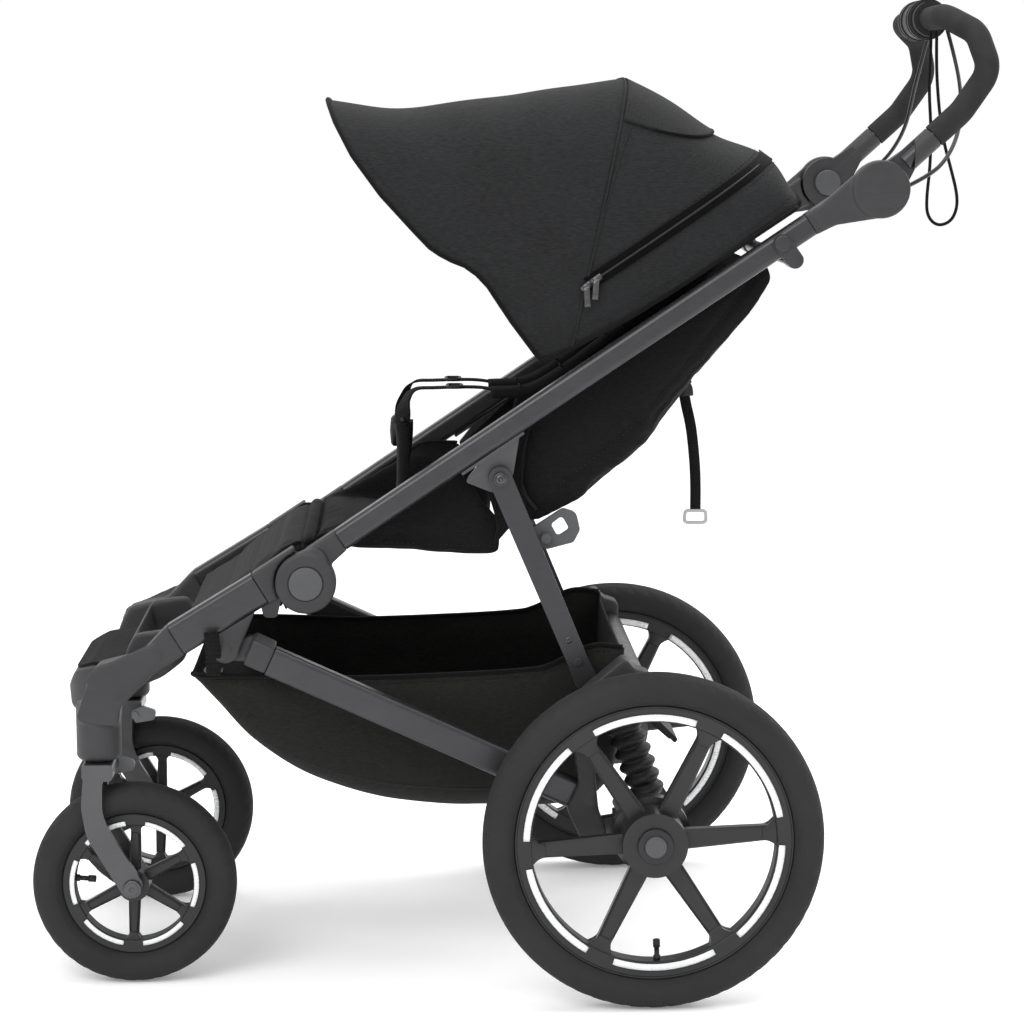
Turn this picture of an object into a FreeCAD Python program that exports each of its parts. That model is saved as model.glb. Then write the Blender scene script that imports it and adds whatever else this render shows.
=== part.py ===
"""Four-wheel jogging stroller with a one-pull folding frame.

Millimetres.  -X is the front, +X the handle end, -Y the stroller's left side, +Z up.
The origin is on the floor under the middle of the stroller.  Each left-hand piece is
built as a right-hand one and mirrored across the XZ plane.
"""
import FreeCAD, Part
import math
import os

V = FreeCAD.Vector

# ---- driving dimensions -------------------------------------------------------------
REAR_RADIUS = 200.0
REAR_TYRE_WIDTH = 47.0
REAR_TRACK_HALF = 310.0
FRONT_RADIUS = 122.5
FRONT_TYRE_WIDTH = 45.0
FRONT_TRACK_HALF = 183.0
FRAME_HALF = 200.0          # middle plane of the side tubes
TUBE_WIDTH = 28.0           # side tubes, across the stroller
UPPER_TUBE_DEPTH = 27.0
FRONT_TUBE_DEPTH = 41.0
RAIL_DEPTH = 35.0
RAIL_WIDTH = 24.0
RAIL_HALF = 240.0
WALL = 1.6
RUNNING_FIT = 0.05          # radial clearance of a pin that turns
GAP = 0.6                   # clearance between neighbouring bodies

REAR_AXLE = (164.4, REAR_RADIUS)
FRONT_AXLE = (-451.2, FRONT_RADIUS)
MAIN_HINGE = (-240.7, 491.5)
HANDLE_HINGE = (434.2, 952.3)
STRUT_TOP = (-10.8, 614.5)
STRUT_BOTTOM = (81.4, 394.6)
RAIL_HINGE = (-337.0, 411.5)
SUSPENSION_HINGE = (98.0, 196.0)
SWIVEL_X = -491.0
CROSSBAR = (520.0, 1155.0)
CANOPY_HINGE = (62.0, 786.0)
RECLINE_HINGE = (8.0, 574.0)
PEDAL_HINGE = (168.0, 300.0)
LATCH_HINGE = (44.0, 541.0)
LOCK_HINGE = (-480.0, 257.0)
TORQUE_BAR = (-284.0, 454.0)
CROSSBEAM = (154.0, 358.0)

UPPER_TUBE_POINT = (-13.0, 666.1)
UPPER_TUBE_SLOPE = 33.8     # degrees
FRONT_TUBE_POINT = (-321.1, 467.7)
FRONT_TUBE_SLOPE = 31.3
RAIL_POINT = (-200.0, 366.2)
RAIL_SLOPE = -24.6

HUB_RADIUS = 36.0
PIN_RADIUS = 6.0
AXLE_RADIUS = 6.0
GRIP_RADIUS = 14.5
BAR_RADIUS = 10.0

CABLE_DIAMETER = 5.0
STRAP_DIAMETER = 4.0

written = {}


# ---- building blocks ----------------------------------------------------------------
def on_line(point, slope, along, across=0.0):
    """Point at a distance along a line in the XZ plane, and across it."""
    c, s = math.cos(math.radians(slope)), math.sin(math.radians(slope))
    return (point[0] + along * c - across * s, point[1] + along * s + across * c)


def polar(centre, radius, degrees):
    return (centre[0] + radius * math.cos(math.radians(degrees)),
            centre[1] + radius * math.sin(math.radians(degrees)))


def corner_arc(before, corner, after, radius):
    """Tangent arc that rounds one corner, as start, middle and end points."""
    a = (before - corner).normalize()
    b = (after - corner).normalize()
    half = a.getAngle(b) / 2
    reach = radius / math.tan(half)
    bisector = (a + b).normalize()
    centre = corner + bisector * (radius / math.sin(half))
    middle = centre - bisector * radius
    return corner + a * reach, middle, corner + b * reach


def rounded_wire(points, radii, closed=False):
    """Straight runs joined by tangent arcs; a radius of 0 keeps the corner sharp."""
    count = len(points)
    edges = []
    ends = []
    for i, corner in enumerate(points):
        inner = closed or 0 < i < count - 1
        if inner and radii[i] > 0:
            ends.append(corner_arc(points[i - 1], corner, points[(i + 1) % count], radii[i]))
        else:
            ends.append((corner, None, corner))
    for i in range(count):
        start, middle, finish = ends[i]
        if middle is not None:
            edges.append(Part.Arc(start, middle, finish).toShape())
        if i < count - 1 or closed:
            target = ends[(i + 1) % count][0]
            if finish.distanceToPoint(target) > 1e-4:
                edges.append(Part.LineSegment(finish, target).toShape())
    return Part.Wire(edges)


def plate(outline, y0, y1, radius=0.0):
    """Flat plate: an XZ outline between two Y planes, its corners rounded."""
    points = [V(p[0], y0, p[1]) for p in outline]
    radii = [p[2] if len(p) > 2 else radius for p in outline]
    face = Part.Face(rounded_wire(points, radii, closed=True))
    return face.extrude(V(0, y1 - y0, 0))


def disc(centre, radius, y0, y1, bore=0.0):
    shape = Part.makeCylinder(radius, y1 - y0, V(centre[0], y0, centre[1]), V(0, 1, 0))
    if bore > 0:
        shape = shape.cut(hole(centre, bore, y0 - 1, y1 + 1))
    return shape


def hole(centre, radius, y0, y1):
    return Part.makeCylinder(radius, y1 - y0, V(centre[0], y0, centre[1]), V(0, 1, 0))


def dome(centre, radius, y0, y1, edge):
    """Disc whose outer rim, at y1, is rounded."""
    shape = disc(centre, radius, y0, y1)
    rim = [e for e in shape.Edges if abs(e.BoundBox.YMin - y1) < 1e-6
           and abs(e.BoundBox.YMax - y1) < 1e-6]
    return shape.makeFillet(edge, rim)


def link(centre_a, radius_a, centre_b, radius_b, y0, y1):
    """Plate with two round ends joined by their common tangents."""
    ax, az = centre_a
    bx, bz = centre_b
    length = math.hypot(bx - ax, bz - az)
    heading = math.atan2(bz - az, bx - ax)
    spread = math.acos((radius_a - radius_b) / length)
    outline = []
    for centre, radius, sign in ((centre_a, radius_a, 1), (centre_b, radius_b, 1),
                                 (centre_b, radius_b, -1), (centre_a, radius_a, -1)):
        angle = math.degrees(heading + sign * spread)
        outline.append(polar(centre, radius, angle))
    web = plate(outline, y0, y1)
    return web.fuse([disc(centre_a, radius_a, y0, y1), disc(centre_b, radius_b, y0, y1)])


def oval_tube(start, end, y, depth, width, wall=WALL):
    """Hollow straight tube of rounded-rectangle section along a line in an XZ plane."""
    a = V(start[0], y, start[1])
    b = V(end[0], y, end[1])
    axis = (b - a).normalize()
    up = V(-axis.z, 0, axis.x)
    across = V(0, 1, 0)

    def section(inset):
        h, w = depth / 2 - inset, width / 2 - inset
        corners = [a + up * h + across * w, a - up * h + across * w,
                   a - up * h - across * w, a + up * h - across * w]
        return Part.Face(rounded_wire(corners, [w * 0.5] * 4, closed=True))

    outer = section(0).extrude(b - a)
    inner = section(wall).extrude(b - a)
    return outer.cut(inner)


def swept(points, radii, section_radius, wall=0.0):
    """Round bar or tube along straight runs joined by tangent arcs."""
    path = rounded_wire(points, radii)
    direction = points[1] - points[0]

    def sweep(radius):
        ring = Part.Wire(Part.makeCircle(radius, points[0], direction))
        return path.makePipeShell([ring], True, False)

    shape = sweep(section_radius)
    return shape.cut(sweep(section_radius - wall)) if wall > 0 else shape


def ring_profile(outline, centre, y_mid):
    """Solid of revolution about the wheel's axle: outline of (radius, offset in Y)."""
    points = [V(centre[0], y_mid + p[1], centre[1] + p[0]) for p in outline]
    radii = [p[2] if len(p) > 2 else 0.0 for p in outline]
    face = Part.Face(rounded_wire(points, radii, closed=True))
    return face.revolve(V(centre[0], y_mid, centre[1]), V(0, 1, 0), 360)


def mirrored(shape):
    return shape.mirror(V(0, 0, 0), V(0, 1, 0))


def union(shapes):
    result = shapes[0].fuse(shapes[1:])
    return result.removeSplitter()


def save(name, shape):
    if not shape.isValid():
        print("WARNING not valid:", name)
    shape.exportStep("parts/" + name + ".step")
    written[name] = shape


def save_sides(name, right):
    save(name + "_right", right)
    save(name + "_left", mirrored(right))


def save_pair(name, right):
    """Two identical pieces on one body share a node."""
    save(name, Part.Compound([right, mirrored(right)]))


# ---- wheels -------------------------------------------------------------------------
def tyre(centre, radius, bead, width, y):
    w = width / 2
    outline = [(bead, -w * 0.62, 2), (bead + 9, -w, 8), (radius - 13, -w, 9),
               (radius, -w * 0.5, 11), (radius, w * 0.5, 11), (radius - 13, w, 9),
               (bead + 9, w, 8), (bead, w * 0.62, 2)]
    return ring_profile(outline, centre, y)


def rim(centre, y, size):
    """Rim ring, six tapered spokes and the hub, with a bore for the axle."""
    bead, inner, hub = size["bead"], size["inner"], size["hub"]
    w = size["rim_half_width"]
    ring = ring_profile([(inner, -w * 0.8, 2), (bead - GAP, -w, 2), (bead - GAP, w, 2),
                         (inner, w * 0.8, 2)], centre, y)
    pieces = [ring, disc(centre, hub, y + size["hub_from"], y + size["hub_to"])]
    root, tip = size["spoke_root"] / 2, size["spoke_tip"] / 2
    half = size["spoke_thickness"] / 2
    for index in range(6):
        angle = size["first_spoke"] + index * 60
        spoke = Part.makePolygon([V(hub - 4, 0, -root), V(inner + 3, 0, -tip),
                                  V(inner + 3, 0, tip), V(hub - 4, 0, root),
                                  V(hub - 4, 0, -root)])
        body = Part.Face(spoke).extrude(V(0, 2 * half, 0))
        body.translate(V(0, -half, 0))
        long_edges = [e for e in body.Edges if abs(e.BoundBox.YLength) < 1e-6
                      and e.BoundBox.XLength > inner - hub - 8]
        body = body.makeChamfer(3.0, long_edges)
        body.rotate(V(0, 0, 0), V(0, -1, 0), angle)
        body.translate(V(centre[0], y, centre[1]))
        pieces.append(body)
    return union(pieces).cut(hole(centre, AXLE_RADIUS + RUNNING_FIT, y - 60, y + 60))


REAR_WHEEL = dict(bead=163.0, inner=143.0, hub=38.0, rim_half_width=14.0, hub_from=-24.0,
                  hub_to=26.0, spoke_root=24.0, spoke_tip=17.0, spoke_thickness=16.0,
                  first_spoke=4.0)
FRONT_WHEEL = dict(bead=87.0, inner=71.0, hub=19.0, rim_half_width=13.0, hub_from=-22.0,
                   hub_to=22.0, spoke_root=15.0, spoke_tip=11.0, spoke_thickness=13.0,
                   first_spoke=28.0)


def make_rear_wheels():
    y = REAR_TRACK_HALF
    save_sides("rear_tyre", tyre(REAR_AXLE, REAR_RADIUS, REAR_WHEEL["bead"],
                                 REAR_TYRE_WIDTH, y))
    wheel = rim(REAR_AXLE, y, REAR_WHEEL)
    cap = dome(REAR_AXLE, 21.0, y + 25.5, y + 31.0, 2.0)
    pocket = hole(REAR_AXLE, 13.5, y + 18.0, y + 32.0)
    save_sides("rear_rim", union([wheel, cap]).cut(pocket))
    button = dome(REAR_AXLE, 13.0, y + 23.0, y + 35.0, 3.0)
    save_sides("wheel_button", button)


def make_front_wheels():
    y = FRONT_TRACK_HALF
    save_sides("front_tyre", tyre(FRONT_AXLE, FRONT_RADIUS, FRONT_WHEEL["bead"],
                                  FRONT_TYRE_WIDTH, y))
    save_sides("front_rim", rim(FRONT_AXLE, y, FRONT_WHEEL))


# ---- front forks --------------------------------------------------------------------
BLADE_OUTER = 27.0          # inner face of each blade from the wheel's middle plane
BLADE_THICKNESS = 8.0
HOUSING_BOTTOM = 274.5
FOOTREST_HALF = 125.0       # half the width of the footrest tray
HOUSING_TOP = 345.0
STEM_RADIUS = 14.0
CROWN_BOTTOM = 254.0


def blade_outline():
    return [(-506.5, 270.0, 3), (-484.5, 270.0, 3), (-485.5, 215.0, 60), (-476.0, 190.0, 60),
            (-438.0, 128.0, 12), (-446.0, 107.0, 12), (-462.0, 113.0, 12),
            (-505.0, 186.0, 60), (-510.5, 222.0, 60)]


def make_forks():
    y = FRONT_TRACK_HALF
    inner, outer = y - BLADE_OUTER, y + BLADE_OUTER
    blades = [plate(blade_outline(), outer, outer + BLADE_THICKNESS),
              plate(blade_outline(), inner - BLADE_THICKNESS, inner)]
    crown = plate([(-509.0, CROWN_BOTTOM, 6), (-472.0, CROWN_BOTTOM, 6),
                   (-472.0, HOUSING_BOTTOM - GAP, 4), (-509.0, HOUSING_BOTTOM - GAP, 4)],
                  inner - BLADE_THICKNESS, outer + BLADE_THICKNESS)
    stem = Part.makeCylinder(STEM_RADIUS, HOUSING_TOP - 12 - CROWN_BOTTOM,
                             V(SWIVEL_X, y, CROWN_BOTTOM))
    fork = union(blades + [crown, stem])
    fork = fork.cut(hole(FRONT_AXLE, AXLE_RADIUS, inner - 20, outer + 20))
    save_sides("fork", fork)
    head = dome(FRONT_AXLE, 11.0, outer + BLADE_THICKNESS, outer + BLADE_THICKNESS + 4.5, 1.5)
    nut = disc(FRONT_AXLE, 9.0, inner - BLADE_THICKNESS - 5.0, inner - BLADE_THICKNESS)
    shaft = disc(FRONT_AXLE, AXLE_RADIUS, inner - BLADE_THICKNESS, outer + BLADE_THICKNESS)
    save_sides("front_axle", union([head, shaft, nut]))
    lever_y = inner - BLADE_THICKNESS
    lever = plate([(-480.0, 246.0, 3), (-455.0, 250.0, 5), (-452.0, 262.0, 5),
                   (-470.0, 268.0, 4), (-486.0, 262.0, 4)], lever_y - 9.0, lever_y - GAP)
    pivot = dome(LOCK_HINGE, 4.5, lever_y - 11.0, lever_y - 8.5, 0.8)
    save_sides("swivel_lock", union([lever, pivot]))


# ---- front frame --------------------------------------------------------------------
def make_front_frame():
    y = FRAME_HALF
    half = TUBE_WIDTH / 2
    upper_end = on_line(FRONT_TUBE_POINT, FRONT_TUBE_SLOPE, 30.0)
    lower_end = on_line(FRONT_TUBE_POINT, FRONT_TUBE_SLOPE, -86.0)
    tube = oval_tube(lower_end, upper_end, y, FRONT_TUBE_DEPTH, TUBE_WIDTH)
    save_pair("front_tubes", tube)

    d = FRONT_TUBE_DEPTH / 2
    knuckle = plate([on_line(FRONT_TUBE_POINT, FRONT_TUBE_SLOPE, 30.0, d),
                     on_line(FRONT_TUBE_POINT, FRONT_TUBE_SLOPE, 30.0, -d),
                     on_line(FRONT_TUBE_POINT, FRONT_TUBE_SLOPE, 78.0, -d - 6),
                     on_line(FRONT_TUBE_POINT, FRONT_TUBE_SLOPE, 90.0, d + 2)],
                    y - half, y + half)
    knuckle = knuckle.cut(hole(MAIN_HINGE, HUB_RADIUS + 1.2, y - half - 1, y + half + 1))
    lug = disc(MAIN_HINGE, HUB_RADIUS - 1.5, y - half, y - GAP / 2)
    bridge = plate([polar(MAIN_HINGE, 44.0, 168), polar(MAIN_HINGE, 44.0, 236),
                    polar(MAIN_HINGE, 20.0, 236), polar(MAIN_HINGE, 20.0, 168)],
                   y - half, y - GAP / 2)
    knuckle = union([knuckle, lug, bridge])
    knuckle = knuckle.cut(hole(MAIN_HINGE, PIN_RADIUS + RUNNING_FIT, y - 40, y + 40))

    swivel = Part.makeCylinder(27.0, HOUSING_TOP - HOUSING_BOTTOM,
                               V(SWIVEL_X, FRONT_TRACK_HALF, HOUSING_BOTTOM))
    base_edge = [e for e in swivel.Edges if e.BoundBox.ZMax < HOUSING_BOTTOM + 1e-3]
    swivel = swivel.makeChamfer(4.0, base_edge)
    fairing = plate([(-516.0, 326.0, 6), (-509.0, 348.0, 10), (-500.0, 374.0, 10),
                     (-488.0, 394.0, 10), (-438.0, 406.0, 20),
                     on_line(FRONT_TUBE_POINT, FRONT_TUBE_SLOPE, -86.0, d),
                     on_line(FRONT_TUBE_POINT, FRONT_TUBE_SLOPE, -86.0, -d),
                     (-420.0, 384.0, 14), (-462.0, 342.0, 14), (-464.5, 318.0, 6)],
                    FRONT_TRACK_HALF - 2.0, FRAME_HALF + half)
    ridge = plate([(-503.0, 372.0, 4), (-496.0, 388.0, 4), (-425.0, 420.0, 10),
                   (-410.0, 404.0, 6), (-440.0, 372.0, 10), (-470.0, 352.0, 8)],
                  FRAME_HALF + half - 1.0, FRAME_HALF + half + 3.0)
    housing = union([swivel, fairing, ridge])
    socket = Part.makeCylinder(STEM_RADIUS + RUNNING_FIT, HOUSING_TOP - HOUSING_BOTTOM - 10,
                               V(SWIVEL_X, FRONT_TRACK_HALF, HOUSING_BOTTOM - 0.5))
    save_pair("fork_housings", housing.cut(socket))

    eye = disc(RAIL_HINGE, 17.0, y - 12.0, y + 12.0)
    ear = plate([polar(RAIL_HINGE, 17.0, 175), polar(RAIL_HINGE, 17.0, -5),
                 on_line(FRONT_TUBE_POINT, FRONT_TUBE_SLOPE, 12.0, -d + 1),
                 on_line(FRONT_TUBE_POINT, FRONT_TUBE_SLOPE, -52.0, -d + 1)],
                y - 12.0, y + 12.0)
    slot = plate([polar(RAIL_HINGE, 60.0, 225), polar(RAIL_HINGE, 60.0, 270),
                  polar(RAIL_HINGE, 60.0, 330), polar(RAIL_HINGE, 60.0, 30),
                  polar(RAIL_HINGE, 17.5, 80), polar(RAIL_HINGE, 17.5, 130),
                  polar(RAIL_HINGE, 17.5, 185)], y - 7.0, y + 7.0)
    clevis = union([eye, ear]).cut(slot)
    tube_solid = oval_tube(lower_end, upper_end, y, FRONT_TUBE_DEPTH, TUBE_WIDTH, wall=13.9)
    clevis = clevis.cut(tube_solid)
    pin = disc(RAIL_HINGE, PIN_RADIUS, y - 13.5, y + 13.5)
    save_pair("rail_clevises", union([clevis, pin]))
    save_pair("hinge_knuckles", knuckle)

    tab_y = y - half
    tabs = [plate([(-296.0, 462.0, 3), (-292.0, 445.0, 6), (-276.0, 445.0, 6),
                   (-270.0, 474.0, 3)], s * tab_y - 2.0, s * tab_y + 2.0) for s in (-1, 1)]
    bar = disc(TORQUE_BAR, 8.0, -tab_y, tab_y)
    tabs = [t.cut(knuckle).cut(mirrored(knuckle)).cut(tube).cut(mirrored(tube)) for t in tabs]
    save("fold_torque_bar", union([bar] + tabs))


def make_footrest():
    """Moulded tray with a rubber tread, a heel trough behind it and two side arms."""
    y = FOOTREST_HALF
    outline = [(-534.5, 318.0, 6), (-538.0, 344.0, 10), (-529.0, 364.0, 12),
               (-506.0, 373.0, 14), (-466.0, 378.0, 6), (-462.0, 396.0, 8),
               (-452.0, 414.0, 8), (-408.0, 420.0, 8), (-388.0, 404.0, 8),
               (-392.0, 380.0, 14), (-420.0, 360.0, 14), (-440.0, 352.0, 14),
               (-476.0, 344.0, 8), (-512.0, 344.0, 6), (-511.0, 311.0, 4)]
    body = plate(outline, -y, y)
    trough_cut = plate([(-455.0, 430.0), (-453.0, 404.0, 8), (-447.0, 378.0, 14),
                        (-426.0, 366.0, 10), (-404.0, 378.0, 14), (-396.0, 400.0, 8),
                        (-396.0, 432.0)], -y + 16.0, y - 16.0)
    corners = [V(-540.0, -y, 300.0), V(-540.0, y, 300.0), V(-386.0, y, 300.0),
               V(-386.0, -y, 300.0)]
    plan = Part.Face(rounded_wire(corners, [62.0, 62.0, 34.0, 34.0], closed=True))
    tray = body.cut(trough_cut).common(plan.extrude(V(0, 0, 140.0)))
    arm = [(-486.0, 352.0, 6), (-472.0, 371.0, 6), (-440.0, 386.0, 6), (-436.0, 372.0, 6),
           (-462.0, 350.0, 6)]
    reach = FRONT_TRACK_HALF - 2.0 - GAP
    arms = [plate(arm, min(s * (y - 4.0), s * reach), max(s * (y - 4.0), s * reach))
            for s in (-1, 1)]
    arms = [a.cut(trough_cut) for a in arms]
    save("footrest", union([tray] + arms))
    tread_top = [(-526.0, 364.0), (-506.0, 372.0), (-468.0, 377.0), (-468.0, 381.0),
                 (-507.0, 376.6), (-527.5, 368.0)]
    tread = plate(tread_top, -y + 14, y - 14)
    corners = [V(-529.0, -y + 14, 350.0), V(-529.0, y - 14, 350.0),
               V(-467.0, y - 14, 350.0), V(-467.0, -y + 14, 350.0)]
    plan = Part.Face(rounded_wire(corners, [46.0, 46.0, 6.0, 6.0], closed=True))
    save("footrest_tread", tread.cut(tray).common(plan.extrude(V(0, 0, 60.0))))


# ---- upper frame --------------------------------------------------------------------
LOW_ALONG = -224.0          # where the upper tubes start and end, along their line
HIGH_ALONG = 440.0


def upper(along, across=0.0):
    return on_line(UPPER_TUBE_POINT, UPPER_TUBE_SLOPE, along, across)


def make_upper_frame():
    y = FRAME_HALF
    half = TUBE_WIDTH / 2
    d = UPPER_TUBE_DEPTH / 2
    save_pair("upper_tubes", oval_tube(upper(LOW_ALONG), upper(HIGH_ALONG), y,
                                       UPPER_TUBE_DEPTH, TUBE_WIDTH))

    block = plate([upper(LOW_ALONG, d), upper(-292.0, d), upper(-310.0, d - 14),
                   polar(MAIN_HINGE, 30.0, -12), polar(MAIN_HINGE, 35.0, 8),
                   upper(-250.0, -d - 4), upper(LOW_ALONG, -d)], y - half, y + half)
    block = block.cut(hole(MAIN_HINGE, HUB_RADIUS + GAP, y - half - 1, y + GAP / 2))
    plate_outer = link(MAIN_HINGE, HUB_RADIUS, upper(-262.0, -1.0), 14.0,
                       y + GAP / 2, y + half + 8)
    boss = dome(MAIN_HINGE, HUB_RADIUS, y + GAP / 2, y + 26.0, 3.0)
    pin = disc(MAIN_HINGE, PIN_RADIUS, y - half - 3.0, y + 10.0)
    head = disc(MAIN_HINGE, 11.0, y - half - 4.0, y - half - GAP / 2)
    hinge = union([block, plate_outer, boss, pin, head])
    hinge = hinge.cut(hole(MAIN_HINGE, 20.4, y + 22.0, y + 30.0))
    save_pair("main_hinges", hinge)
    save_pair("hinge_caps", dome(MAIN_HINGE, 20.0, y + 22.0, y + 27.0, 1.5))

    spigot = plate([upper(HIGH_ALONG, d), upper(HIGH_ALONG + 34, d), upper(520.0, 14.0, ),
                    upper(520.0, -26.0), upper(HIGH_ALONG + 30, -d - 4),
                    upper(HIGH_ALONG, -d)], y - half, y + half)
    spigot = spigot.cut(hole(HANDLE_HINGE, 35.0, y - half - 1, y + 3.0 + GAP / 2))
    outer = dome(HANDLE_HINGE, 34.0, y + 3.0 + GAP / 2, y + 22.0, 3.0)
    web = link(HANDLE_HINGE, 33.0, upper(HIGH_ALONG + 20, 0.0), 13.0,
               y + 3.0 + GAP / 2, y + half + 3)
    groove = disc(HANDLE_HINGE, 18.5, y + 20.5, y + 23.0).cut(hole(HANDLE_HINGE, 17.3,
                                                                 y + 20.0, y + 24.0))
    pin = disc(HANDLE_HINGE, PIN_RADIUS, y - 6.0, y + 12.0)
    save_pair("handle_hubs", union([spigot, outer, web, pin]).cut(groove))

    bracket = plate([(-52.0, 609.0, 3), upper(-26.0, -d - 0.2), upper(22.0, -d - 0.2),
                     (5.0, 618.0, 6), (-8.0, 596.0, 8), (-22.0, 597.0, 6)],
                    y - 8.0, y + 4.0)
    top_pad = plate([upper(-62.0, -d - 0.1), upper(26.0, -d - 0.1), upper(26.0, -d - 3.5),
                     upper(-62.0, -d - 3.5)], y - 10.0, y + 10.0)
    bracket = union([bracket, top_pad])
    pin = disc(STRUT_TOP, PIN_RADIUS, y - 8.0, y + 24.0)
    head = dome(STRUT_TOP, 8.0, y + 22.3, y + 26.0, 1.0)
    save_pair("strut_brackets", union([bracket, pin, head]))

    bar_at = upper(402.0, -d - 10.0)
    knob_at = upper(400.0, 1.0)
    clamps = []
    for s in (-1, 1):
        near, far = sorted((s * (y + half + 0.2), s * (y + half + 4.0)))
        clamps.append(link(knob_at, 11.0, bar_at, 10.0, near, far))
        clamps.append(disc(bar_at, 10.0, *sorted((s * (y - 10.0), far if s > 0 else near))))
        cap = dome(knob_at, 9.5, y + half + 3.5, y + half + 8.0, 1.5)
        clamps.append(cap if s > 0 else mirrored(cap))
    bar = disc(bar_at, 8.0, -y + 3.0, y - 3.0)
    bar = union([bar] + clamps)
    for s in (-1, 1):
        bar = bar.cut(oval_tube(upper(380.0), upper(430.0), s * y, UPPER_TUBE_DEPTH + 0.2,
                                TUBE_WIDTH + 0.2, wall=13.4))
    save("backrest_crossbar", bar)


# ---- struts -------------------------------------------------------------------------
STRUT_IN = FRAME_HALF + 6.0
STRUT_OUT = FRAME_HALF + 20.0


def make_struts():
    end = on_line(STRUT_BOTTOM, -67.3, 22.0)
    upper_part = link(STRUT_TOP, 14.0, STRUT_BOTTOM, 12.5, STRUT_IN, STRUT_OUT)
    foot = link(end, 14.0, STRUT_BOTTOM, 12.5, STRUT_IN, STRUT_OUT)
    body = union([upper_part, foot])
    body = body.cut(hole(STRUT_TOP, PIN_RADIUS + RUNNING_FIT, STRUT_IN - 1, STRUT_OUT + 1))
    rivet = dome(STRUT_BOTTOM, 5.0, STRUT_OUT, STRUT_OUT + 2.5, 1.0)
    save_pair("rear_struts", union([body, rivet]))


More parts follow.
